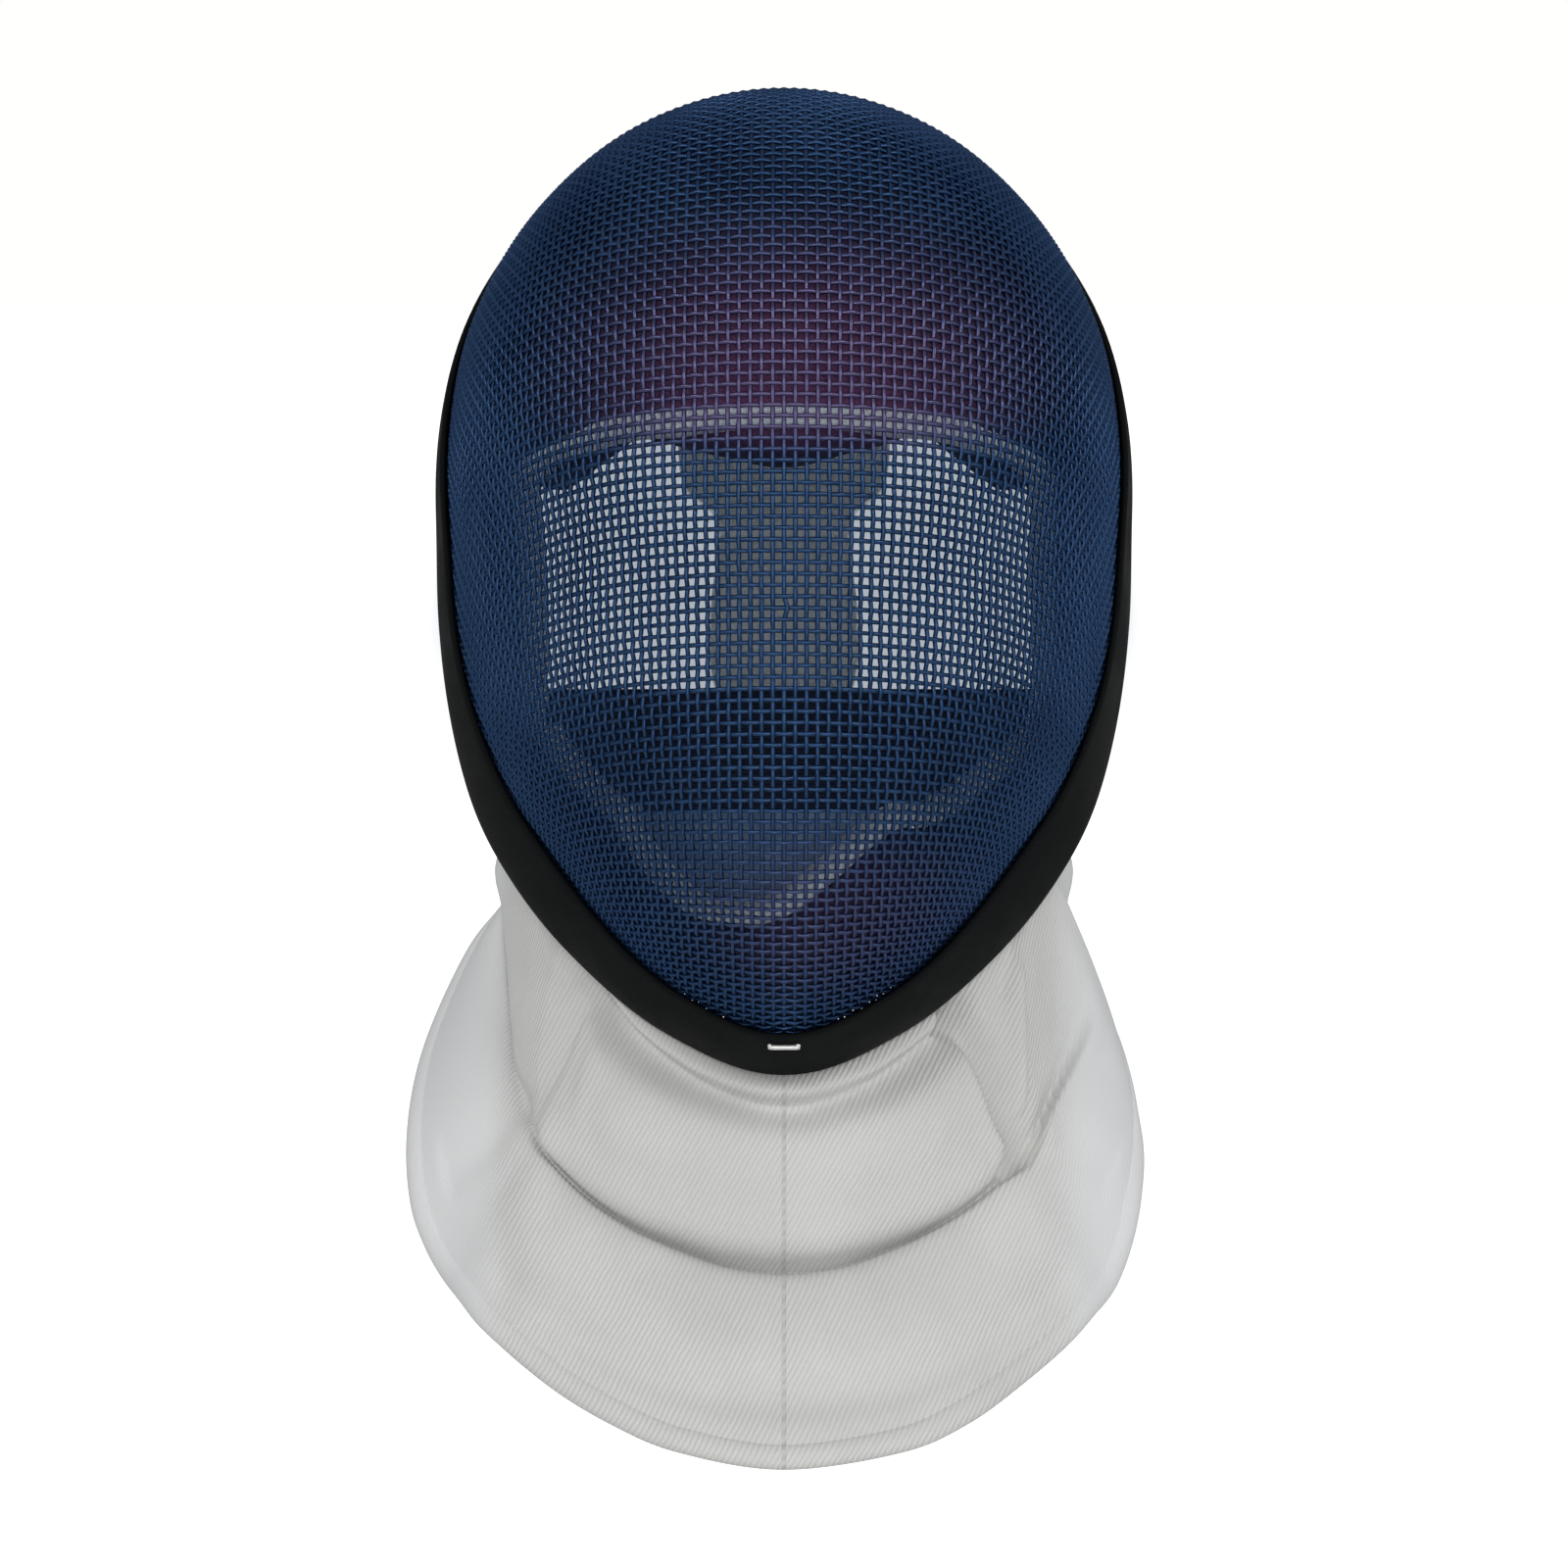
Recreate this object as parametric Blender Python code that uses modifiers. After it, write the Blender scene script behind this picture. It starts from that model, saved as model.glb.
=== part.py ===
# A fencing mask in the pose in which it is worn: a domed face of woven wire with a rubber
# edge trim, padded liners inside, a sprung tongue and an elastic strap behind the head,
# and a stiff cloth bib that rolls out over the throat.
#
# Everything is worked out in the mask's own frame: x to the right of someone who looks at
# the face, depth backwards from the middle of the face, and height above it. worn() turns
# that frame by the small tilt at which the mask is worn, with the world's origin at the
# spot where the top of the head meets the crown pad.

import math

import bmesh
import bpy
from mathutils import Vector
from mathutils.geometry import interpolate_bezier

MM = 0.001
CLEAR = 0.3 * MM                 # running gap between neighbouring pieces

# Whole mask
WORN_TILT = math.radians(9.0)    # the face looks up by this much
SEAT_DEPTH = 120.0 * MM          # top of the head, behind the middle of the face

# Wire dome
WALL = 2.2 * MM                  # two crossing wires
CROWN_DEEP = 123.7 * MM          # how fast the dome falls back: over the crown,
SIDE_DEEP = 162.0 * MM           # past the cheeks,
CHIN_DEEP = 200.0 * MM           # and under the chin
CROWN_ROUND = 1.12               # a higher power gives a flatter face and a quicker turn
SIDE_ROUND = 0.92
CHIN_ROUND = 1.24
DOME_AROUND = 60
DOME_RINGS = 15

# Front outline of the dome, from below the chin to above the crown, every 15 degrees
OUTLINE_STEP = 15
OUTLINE_RADIUS = [
    radius * MM for radius in
    (150.0, 137.6, 121.0, 109.6, 104.8, 102.8, 103.6, 108.0, 119.2, 133.8, 147.0, 157.2, 161.0)
]

# Side view of the dome's rim: how far behind the face it lies at each height
RIM_HEIGHT_DEPTH = [
    (-132.0 * MM, 80.0 * MM),    # under the chin
    (-100.0 * MM, 100.0 * MM),
    (-60.0 * MM, 120.0 * MM),    # corner of the jaw
    (0.0, 135.0 * MM),           # ear
    (60.0 * MM, 150.0 * MM),
    (110.0 * MM, 166.0 * MM),
    (151.0 * MM, 173.0 * MM),    # back of the crown
]

# Rubber channel over the rim
TRIM_OUTSIDE = 24.0 * MM         # width of the band that shows
TRIM_INSIDE = 13.0 * MM
TRIM_RUBBER = 2.6 * MM
TRIM_LIP = 1.6 * MM              # thickness at its front edge
TRIM_GAP = 0.5 * MM              # clear of the wire's facets
TRIM_FLARE = 6.8 * MM            # the band stands out over the bib's seam at the jaw,
FLARE_AT = 45.0                  # this many degrees below the ear,
FLARE_WIDE = 27.0                # and less on both sides of it

# Staple in the trim under the chin
STAPLE_LENGTH = 9.5 * MM
STAPLE_WIRE = 1.5 * MM
STAPLE_BACK = 20.5 * MM          # from the rim, along the band

# Padded liner
PAD = 11.0 * MM
FACET_ROOM = 0.4 * MM            # keeps the pads off the flat facets of the wire
PAD_UNDER = WALL + CLEAR + FACET_ROOM
BINDING = 7.6 * MM               # diameter of the bound edge
BINDING_SINK = 1.0 * MM          # how far the binding lies behind the face of its pad
BINDING_UNDER = PAD_UNDER + BINDING / 2 + BINDING_SINK
PAD_SEAM = 0.9 * MM              # from the binding to the pad, at the face of the pad
OUTSIDE = -400.0 * MM            # well outside the dome, to tell a pad's front from its back

# Edge of each pad as seen from the front: direction in degrees, distance from the face's
# middle in millimetres. The chin pad droops to one side.
CROWN_EDGE = [(27, 84), (38, 73), (60, 58), (90, 52), (120, 58), (142, 73), (153, 84)]
RIGHT_EDGE = [(-23, 81), (-8, 76), (8, 75), (24, 82)]
LEFT_EDGE = [(156, 82), (172, 72), (188, 72), (204, 79)]
CHIN_EDGE = [
    (207, 75), (227, 72), (239, 78), (250, 84), (260, 84), (270, 80),
    (281, 72), (291, 66), (301, 64), (309, 69), (322, 72), (334, 79),
]

# Sprung tongue behind the head: height, depth and half width down its length
TONGUE_PATH = [
    (141.0 * MM, 181.5 * MM, 35.0 * MM),
    (118.0 * MM, 194.0 * MM, 34.0 * MM),
    (84.0 * MM, 203.0 * MM, 34.0 * MM),
    (50.0 * MM, 203.0 * MM, 33.0 * MM),
    (36.0 * MM, 201.0 * MM, 21.5 * MM),
    (10.0 * MM, 194.5 * MM, 23.5 * MM),
    (-14.0 * MM, 189.4 * MM, 23.0 * MM),
    (-27.0 * MM, 188.8 * MM, 15.0 * MM),
]
TONGUE_THICK = 4.0 * MM

# Elastic strap behind the head
STRAP_BACK = 184.0 * MM
STRAP_TOP = -17.0 * MM
STRAP_TALL = 43.0 * MM
STRAP_THICK = 2.4 * MM
STRAP_LAP = 10.0 * MM            # how far each end lies along the trim
STRAP_FROM = (-11.0, -31.0)      # where its upper and lower edge leave the trim, in degrees
STRAP_LEAVE = 45.0 * MM          # how straight it leaves the trim, and how flat it lies
STRAP_FLAT = 48.0 * MM           # behind the head
STRAP_HALF = 12                  # facets from one end to the middle

# Bib. One row for each section, from the middle of the front round to the ear: turn round
# the neck in degrees, direction of the trim that it hangs from, then x, depth and height
# of the crease under the neck roll and of the hem's outer edge, in millimetres.
BIB_SECTIONS = [
    (0, -90.0, (0, 75, -189), (0, 18, -234.5)),
    (17, -83.0, (15, 76.5, -187.5), (30.5, 26, -232)),
    (30, -78.0, (27, 80, -184), (49, 38, -226.5)),
    (45, -72.0, (41, 85, -178.5), (68, 56, -218.5)),
    (60, -64.0, (57, 92, -169), (85, 76, -206.5)),
    (72, -57.0, (71, 101, -156), (98, 93, -192)),
    (82, -50.0, (79, 113, -139), (110, 110.5, -173)),
    (90, -45.5, (82, 125, -122), (113, 125, -151)),
    (98, -42.0, (84, 137, -104), (111, 141, -128)),
    (106, -39.5, (86, 147, -89), (99, 154, -100)),
    (111, -38.0, (88, 152, -80), (96, 157, -91)),
]
BIB_CLOTH = 2.4 * MM
BIB_TUCK = 1.3 * MM              # from the back of the trim to the cloth's sewn edge
BIB_BULGE = 11.0 * MM            # how far the neck roll stands out
NECK_DROP = 0.2                  # how soon the neck roll turns in at its two ends
BIB_BOW = 3.5 * MM               # how far the apron arches between crease and hem
BIB_UP = Vector((0, -0.5, 0.85)) # the way that the apron faces
BIB_AROUND = 56
NECK_ROWS = 6
APRON_ROWS = 5

# The apron is not the same on both sides: how far out its hem lies on the right, in
# millimetres, for the same sections
RIGHT_HEM = [0, 34.5, 50, 67, 84, 97.5, 106, 108, 106, 95, 92.2]
HEM_ROLL = 4.6 * MM              # diameter of the bound hem
HEM_SEAM = 0.6 * MM              # between it and the cloth's edge

# Folds across the apron: turn round the neck, width in degrees, how deep
BIB_FOLDS = [(-76, 7, -5.0 * MM), (-58, 9, 2.5 * MM), (72, 6, -4.0 * MM), (84, 6, 3.0 * MM)]


def smooth_rows(rows, at):
    """Read a table of rows at a position between them, along a smooth curve."""
    last = len(rows) - 1
    at = min(max(at, 0.0), last - 1e-9)
    index = int(at)
    part = at - index
    before, start = rows[max(index - 1, 0)], rows[index]
    end, after = rows[index + 1], rows[min(index + 2, last)]
    if index == 0:
        before = [2 * a - b for a, b in zip(start, end)]
    if index == last - 1:
        after = [2 * b - a for a, b in zip(start, end)]
    values = []
    for p0, p1, p2, p3 in zip(before, start, end, after):
        square = 2 * p0 - 5 * p1 + 4 * p2 - p3
        cube = 3 * p1 - p0 - 3 * p2 + p3
        values.append(p1 + 0.5 * part * ((p2 - p0) + part * (square + part * cube)))
    return values


def row_position(keys, key):
    """Position of a value in an increasing list, as a row number with a fraction."""
    for index in range(len(keys) - 1):
        if key <= keys[index + 1]:
            return index + (key - keys[index]) / (keys[index + 1] - keys[index])
    return len(keys) - 1


def outline_radius(direction):
    """Distance from the face's middle to the dome's outline in the front view."""
    steepness = math.degrees(math.asin(max(-1.0, min(1.0, math.sin(direction)))))
    place = (steepness + 90) / OUTLINE_STEP
    mirrored = [OUTLINE_RADIUS[1], *OUTLINE_RADIUS, OUTLINE_RADIUS[-2]]
    rows = [(radius,) for radius in mirrored]
    return smooth_rows(rows, place + 1)[0]


def dome(direction, sweep):
    """Point on the outside of the wire, at an angle of sweep from the face's middle."""
    side = math.cos(direction) ** 2
    upright = math.sin(direction) ** 2
    crown = math.sin(direction) >= 0
    deep = SIDE_DEEP * side + (CROWN_DEEP if crown else CHIN_DEEP) * upright
    power = SIDE_ROUND * side + (CROWN_ROUND if crown else CHIN_ROUND) * upright
    radius = outline_radius(direction) * math.sin(sweep)
    depth = deep * (1 - math.cos(sweep)) ** power
    return Vector((radius * math.cos(direction), depth, radius * math.sin(direction)))


def under_dome(direction, sweep, under):
    """Point at a distance under the outside of the wire; a negative one stands proud."""
    step = 0.01
    sweep = max(sweep, step)
    along = dome(direction, sweep + step) - dome(direction, sweep - step)
    across = dome(direction + step, sweep) - dome(direction - step, sweep)
    inward = across.cross(along).normalized()
    return dome(direction, sweep) + inward * under


def halve(low, high, is_before):
    """Find where a test turns from true to false between two values."""
    for _ in range(30):
        middle = (low + high) / 2
        if is_before(middle):
            low = middle
        else:
            high = middle
    return low


RIM_HEIGHTS = [row[0] for row in RIM_HEIGHT_DEPTH]
RIM_DEPTHS = [(row[1],) for row in RIM_HEIGHT_DEPTH]


def rim_sweep(direction):
    """Sweep at which the dome ends, from the rim's line in the side view."""
    def in_front(sweep):
        point = dome(direction, sweep)
        position = row_position(RIM_HEIGHTS, max(point.z, RIM_HEIGHTS[0]))
        return point.y < smooth_rows(RIM_DEPTHS, position)[0]
    return halve(0.3, 2.2, in_front)


def sweep_from_rim(direction, distance):
    """Sweep at a distance in front of the rim, measured along the wire."""
    sweep = rim_sweep(direction)
    pace = (dome(direction, sweep) - dome(direction, sweep - 0.1)).length / 0.1
    return sweep - distance / pace


def sweep_at_radius(direction, radius, under):
    """Sweep at which a point under the wire shows at this radius in the front view."""
    def nearer(sweep):
        point = under_dome(direction, sweep, under)
        return math.hypot(point.x, point.z) < radius
    return halve(0.1, 1.4, nearer)


def tilt(point):
    """Turn a point of the mask's frame by the tilt at which the mask is worn."""
    cos, sin = math.cos(WORN_TILT), math.sin(WORN_TILT)
    return Vector((point[0], point[1] * cos + point[2] * sin, point[2] * cos - point[1] * sin))


SEAT_UNDER = PAD_UNDER + PAD + CLEAR
SEAT = tilt(under_dome(math.pi / 2, math.acos(1 - (SEAT_DEPTH / CROWN_DEEP) ** (1 / CROWN_ROUND)),
                       SEAT_UNDER))


def worn(point):
    """World place of a point of the mask's frame."""
    return tilt(point) - SEAT


def material(name, colour, roughness, metallic=0.0):
    finish = bpy.data.materials.new(name)
    finish.use_nodes = True
    shader = finish.node_tree.nodes["Principled BSDF"]
    shader.inputs["Base Color"].default_value = (*colour, 1.0)
    shader.inputs["Roughness"].default_value = roughness
    shader.inputs["Metallic"].default_value = metallic
    return finish


def keep(piece, name, finish):
    """Name a finished piece, give it its material and file it with the mask."""
    piece.name = name
    piece.data.name = name
    piece.data.materials.clear()
    piece.data.materials.append(finish)
    for collection in list(piece.users_collection):
        collection.objects.unlink(piece)
    bpy.data.collections["fencing_mask"].objects.link(piece)
    return piece


def thicken(piece, thickness, offset):
    """Give a surface a wall: offset 1 puts it on the side that the faces point to."""
    wall = piece.modifiers.new("wall", "SOLIDIFY")
    wall.thickness = thickness
    wall.offset = offset
    wall.use_even_offset = True


def face_towards(mesh, middle, outwards):
    """Point a sheet's faces to the side of its middle on which outwards lies."""
    face = min(mesh.polygons, key=lambda polygon: (polygon.center - middle).length)
    if face.normal.dot(outwards - face.center) < 0:
        mesh.flip_normals()


def sheet(name, columns, rows, place, thickness, outwards, finish, down=0.5):
    """A grid laid over place(across, down), both from 0 to 1, with its wall inside.

    Its outer side is the one that sees the point outwards from halfway across.
    """
    bpy.ops.mesh.primitive_grid_add(x_subdivisions=columns, y_subdivisions=rows, size=1)
    piece = bpy.context.object
    for vertex in piece.data.vertices:
        vertex.co = worn(place(vertex.co.x + 0.5, 0.5 - vertex.co.y))
    piece.data.update()
    face_towards(piece.data, worn(place(0.5, down)), worn(outwards))
    thicken(piece, thickness, -1)
    piece.data.shade_smooth()
    return keep(piece, name, finish)


def roll(name, points, diameter, finish, sides=2):
    """A round cord along points of the mask's frame, with filled ends."""
    curve = bpy.data.curves.new(name, "CURVE")
    curve.dimensions = "3D"
    curve.bevel_depth = diameter / 2
    curve.bevel_resolution = sides
    curve.use_fill_caps = True
    spline = curve.splines.new("POLY")
    spline.points.add(len(points) - 1)
    for target, point in zip(spline.points, points):
        target.co = (*worn(point), 1.0)
    piece = bpy.data.objects.new(name, curve)
    bpy.context.scene.collection.objects.link(piece)
    return keep(piece, name, finish)


def make_mesh_shell(finish):
    """The dome of woven wire: half a ball whose rings are drawn out to the rim."""
    bpy.ops.mesh.primitive_uv_sphere_add(
        segments=DOME_AROUND, ring_count=2 * DOME_RINGS, radius=1)
    piece = bpy.context.object
    ball = bmesh.new()
    ball.from_mesh(piece.data)
    behind = [vertex for vertex in ball.verts if vertex.co.z < -1e-4]
    bmesh.ops.delete(ball, geom=behind, context="VERTS")
    for vertex in ball.verts:
        direction = math.atan2(vertex.co.y, vertex.co.x)
        share = math.acos(max(-1.0, min(1.0, vertex.co.z))) / (math.pi / 2)
        vertex.co = worn(dome(direction, rim_sweep(direction) * share))
    ball.to_mesh(piece.data)
    ball.free()
    face_towards(piece.data, worn((0, 0, 0)), worn((0, -1, 0)))
    thicken(piece, WALL, -1)
    piece.data.shade_smooth()
    return keep(piece, "mesh_shell", finish)


def trim_proud(direction, distance):
    """How far the trim's outer face stands above the wire, in front of the rim."""
    below_ear = -math.degrees(math.asin(math.sin(direction)))
    flare = TRIM_FLARE * math.exp(-((below_ear - FLARE_AT) / FLARE_WIDE) ** 2)
    share = 1 - distance / TRIM_OUTSIDE
    return TRIM_GAP + TRIM_LIP + (TRIM_RUBBER - TRIM_LIP) * min(1, 2 * share) + flare * share


def trim_section(direction):
    """The channel's section: distance in front of the rim, and distance under the wire."""
    outer = -TRIM_GAP
    inner = WALL + TRIM_GAP
    back = -trim_proud(direction, 0.0)
    return [
        (TRIM_OUTSIDE, outer),
        (TRIM_OUTSIDE, -trim_proud(direction, TRIM_OUTSIDE)),
        (TRIM_OUTSIDE / 2, -trim_proud(direction, TRIM_OUTSIDE / 2)),
        (0.0, back),
        (-TRIM_RUBBER, back + TRIM_RUBBER / 2),
        (-TRIM_RUBBER, inner + TRIM_RUBBER / 2),
        (0.0, inner + TRIM_RUBBER),
        (TRIM_INSIDE, inner + TRIM_LIP),
        (TRIM_INSIDE, inner),
        (-TRIM_GAP, inner),
        (-TRIM_GAP, outer),
        (TRIM_OUTSIDE / 2, outer),
    ]


def near_rim(direction, distance, under):
    """Point near the rim: in front of it along the wire, or straight on past it."""
    if distance >= 0:
        return under_dome(direction, sweep_from_rim(direction, distance), under)
    sweep = rim_sweep(direction)
    onward = (dome(direction, sweep) - dome(direction, sweep - 0.02)).normalized()
    return under_dome(direction, sweep, under) - onward * distance


def make_edge_trim(finish):
    """The rubber channel, a loop of sections round the rim."""
    mesh = bmesh.new()
    loops = []
    for index in range(DOME_AROUND):
        direction = 2 * math.pi * index / DOME_AROUND
        section = trim_section(direction)
        loops.append([mesh.verts.new(worn(near_rim(direction, *spot))) for spot in section])
    for index, loop in enumerate(loops):
        following = loops[(index + 1) % len(loops)]
        for corner in range(len(loop)):
            after = (corner + 1) % len(loop)
            mesh.faces.new((loop[corner], loop[after], following[after], following[corner]))
    bmesh.ops.recalc_face_normals(mesh, faces=mesh.faces)
    data = bpy.data.meshes.new("edge_trim")
    mesh.to_mesh(data)
    mesh.free()
    data.shade_smooth()
    data.set_sharp_from_angle(angle=math.radians(40))
    piece = bpy.data.objects.new("edge_trim", data)
    bpy.context.scene.collection.objects.link(piece)
    return keep(piece, "edge_trim", finish)


def make_staple(finish):
    """The steel staple that closes the trim under the chin."""
    chin = -math.pi / 2
    under = -(trim_proud(chin, STAPLE_BACK) + CLEAR + STAPLE_WIRE / 2)
    here = near_rim(chin, STAPLE_BACK, under)
    onward = near_rim(chin, STAPLE_BACK - 1 * MM, under)
    bpy.ops.mesh.primitive_cube_add(size=1, location=worn(here))
    piece = bpy.context.object
    piece.scale = (STAPLE_LENGTH, STAPLE_WIRE, STAPLE_WIRE)
    run = tilt(onward) - tilt(here)
    piece.rotation_euler = (math.atan2(run.z, run.y), 0, 0)
    bpy.ops.object.transform_apply(location=False, rotation=False, scale=True)
    edge = piece.modifiers.new("edge", "BEVEL")
    edge.width = STAPLE_WIRE / 4
    edge.segments = 2
    return keep(piece, "staple", finish)


def edge_radius(edge, degrees):
    """Radius of a pad's edge in a direction, read from its table."""
    keys = [row[0] for row in edge]
    rows = [(row[1] * MM,) for row in edge]
    return smooth_rows(rows, row_position(keys, degrees))[0]


def make_pad(name, edge, columns, rows, finish, binding_finish):
    """A pad between its edge in the face's window and the trim, and its bound edge."""
    first, last = edge[0][0], edge[-1][0]

    def edge_sweep(degrees):
        direction = math.radians(degrees)
        return sweep_at_radius(direction, edge_radius(edge, degrees), BINDING_UNDER)

    def edge_point(degrees):
        return under_dome(math.radians(degrees), edge_sweep(degrees), BINDING_UNDER)

    def place(across, down):
        degrees = first + (last - first) * across
        direction = math.radians(degrees)
        start = edge_sweep(degrees)
        behind = under_dome(direction, start + 0.02, BINDING_UNDER) - edge_point(degrees)
        along = edge_point(min(degrees + 1, last)) - edge_point(max(degrees - 1, first))
        slant = math.sin(along.angle(behind))
        start += (BINDING / 2 + PAD_SEAM) / slant / (behind.length / 0.02)
        end = sweep_from_rim(direction, TRIM_INSIDE + 2 * CLEAR)
        return under_dome(direction, start + (end - start) * down, PAD_UNDER)

    middle = math.radians((first + last) / 2)
    beyond = under_dome(middle, 1.0, OUTSIDE)
    sheet(name, columns, rows, place, PAD, beyond, finish)
    route = [edge_point(first + (last - first) * index / columns) for index in range(columns + 1)]
    roll(name.replace("pad", "binding"), route, BINDING, binding_finish)


def make_tongue(finish):
    """The cloth-covered spring tongue, hung from the trim behind the crown."""
    def place(across, down):
        height, depth, half = smooth_rows(TONGUE_PATH, down * (len(TONGUE_PATH) - 1))
        return Vector(((2 * across - 1) * half, depth, height))
    return sheet("tongue", 4, 21, place, TONGUE_THICK, Vector((0, 1, 0)), finish)


def make_back_strap(finish):
    """The elastic strap: a ribbon between two curves, one for each of its edges."""
    under = WALL + TRIM_GAP + CLEAR + TRIM_RUBBER
    edges = []
    for degrees, height in zip(STRAP_FROM, (STRAP_TOP, STRAP_TOP - STRAP_TALL)):
        start = near_rim(math.radians(degrees), STRAP_LAP, under)
        onward = (near_rim(math.radians(degrees), 0, under) - start).normalized()
        middle = Vector((0, STRAP_BACK, height))
        curve = interpolate_bezier(
            start, start + onward * STRAP_LEAVE, middle + Vector((STRAP_FLAT, 0, 0)), middle,
            STRAP_HALF + 1)
        mirrored = [Vector((-point.x, point.y, point.z)) for point in curve]
        edges.append([tuple(point) for point in mirrored + curve[-2::-1]])

    def place(across, down):
        top, bottom = (Vector(smooth_rows(edge, across * 2 * STRAP_HALF)) for edge in edges)
        return top.lerp(bottom, down)

    facets = 2 * STRAP_HALF
    return sheet("back_strap", facets, 2, place, STRAP_THICK, Vector((0, 1, 0)), finish)


def bib_rows():
    """The table of sections as plain rows from the left ear round to the right one."""
    right, left = [], []
    for (turn, trim, crease, hem), hem_right in zip(BIB_SECTIONS, RIGHT_HEM):
        right.append((turn, trim, *crease, hem_right, *hem[1:]))
        if turn > 0:
            left.append((-turn, -180 - trim, -crease[0], *crease[1:], -hem[0], *hem[1:]))
    return left[::-1] + right


BIB_ROWS = bib_rows()
BIB_TURNS = [row[0] for row in BIB_ROWS]


def bib_section(turn):
    """Trim direction, crease and hem of the bib at a turn round the neck, in degrees."""
    values = smooth_rows(BIB_ROWS, row_position(BIB_TURNS, turn))
    crease = Vector(values[2:5]) * MM
    hem = Vector(values[5:8]) * MM
    apron = crease - hem
    edge = hem + apron * min(0.6, (HEM_ROLL + HEM_SEAM) / apron.length)
    return math.radians(values[1]), crease, edge


def bib_fold(turn):
    """How far the apron's folds lift or lower it at a turn round the neck."""
    return sum(lift * math.exp(-((turn - at) / wide) ** 2) for at, wide, lift in BIB_FOLDS)


def bib_point(turn, down):
    """Point on the bib: the neck roll from 0 to 1, and the apron from 1 to 2."""
    trim, crease, hem = bib_section(turn)
    angle = math.radians(turn)
    out = Vector((math.sin(angle), -math.cos(angle), 0))
    if down <= 1:
        top = near_rim(trim, -(TRIM_RUBBER + BIB_TUCK), 0)
        drop = (crease - top) * NECK_DROP
        bulge = out * BIB_BULGE * 4 / 3
        above, below = top + bulge + drop, crease + bulge - drop
        rest = 1 - down
        return (top * rest ** 3 + above * 3 * rest ** 2 * down
                + below * 3 * rest * down ** 2 + crease * down ** 3)
    share = down - 1
    arch = math.sin(math.pi * share)
    lift = BIB_BOW * arch + bib_fold(turn) * math.sin(math.pi * min(share, 0.6) / 1.2)
    return crease.lerp(hem, share) + BIB_UP * lift


def hem_point(turn):
    """Middle of the bound hem, just past the edge of the cloth."""
    last = BIB_SECTIONS[-1][0]
    hem, above = bib_point(turn, 2), bib_point(turn, 1.8)
    along = (bib_point(min(turn + 1, last), 2) - bib_point(max(turn - 1, -last), 2)).normalized()
    onward = hem - above
    onward = (onward - along * onward.dot(along)).normalized()
    under = along.cross(onward).normalized()
    return hem + onward * (HEM_ROLL / 2 + HEM_SEAM) + under * BIB_CLOTH / 2


def make_bib(finish, hem_finish):
    """The padded cloth bib and its bound hem, from one ear round to the other."""
    last = BIB_SECTIONS[-1][0]
    rows = NECK_ROWS + APRON_ROWS

    def place(across, down):
        row = down * rows
        share = row / NECK_ROWS if row <= NECK_ROWS else 1 + (row - NECK_ROWS) / APRON_ROWS
        return bib_point(last * (2 * across - 1), share)

    sheet("bib", BIB_AROUND, rows, place, BIB_CLOTH, Vector((0, -1, -0.1)), finish, down=0.2)
    route = [hem_point(last * (2 * index / BIB_AROUND - 1)) for index in range(BIB_AROUND + 1)]
    roll("bib_hem", route, HEM_ROLL, hem_finish)


def build():
    for old in list(bpy.data.objects):
        bpy.data.objects.remove(old)
    group = bpy.data.collections.new("fencing_mask")
    bpy.context.scene.collection.children.link(group)

    wire = material("navy_wire", (0.035, 0.06, 0.16), 0.45, 0.4)
    rubber = material("black_rubber", (0.008, 0.009, 0.009), 0.6)
    steel = material("bright_steel", (0.6, 0.6, 0.6), 0.3, 1.0)
    lining = material("navy_lining", (0.03, 0.035, 0.12), 0.9)
    binding = material("pale_blue_binding", (0.3, 0.38, 0.6), 0.85)
    tongue_cloth = material("grey_cloth", (0.3, 0.33, 0.38), 0.9)
    elastic = material("navy_elastic", (0.012, 0.025, 0.08), 0.85)
    twill = material("white_twill", (0.8, 0.79, 0.76), 0.9)

    make_mesh_shell(wire)
    make_edge_trim(rubber)
    make_staple(steel)
    make_pad("crown_pad", CROWN_EDGE, 20, 6, lining, binding)
    make_pad("right_pad", RIGHT_EDGE, 6, 4, lining, binding)
    make_pad("left_pad", LEFT_EDGE, 6, 4, lining, binding)
    make_pad("chin_pad", CHIN_EDGE, 24, 4, lining, binding)
    make_tongue(tongue_cloth)
    make_back_strap(elastic)
    make_bib(twill, twill)


build()
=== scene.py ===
# %% [markdown]
# # A fencing mask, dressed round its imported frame
#
# The mask is a deep dome of woven steel wire. A rubber channel holds its rim, soft pads line
# it, a sprung tongue and an elastic strap hold it on the head, and a stiff white bib rolls out
# over the throat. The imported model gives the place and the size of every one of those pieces.
# This script makes the surfaces that a person would see: real woven wires in place of the
# plain wall, padded liners with bound edges, and a cloth bib with its twill, seams and folds.

# %% Load the frame and keep its size
import math

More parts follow.
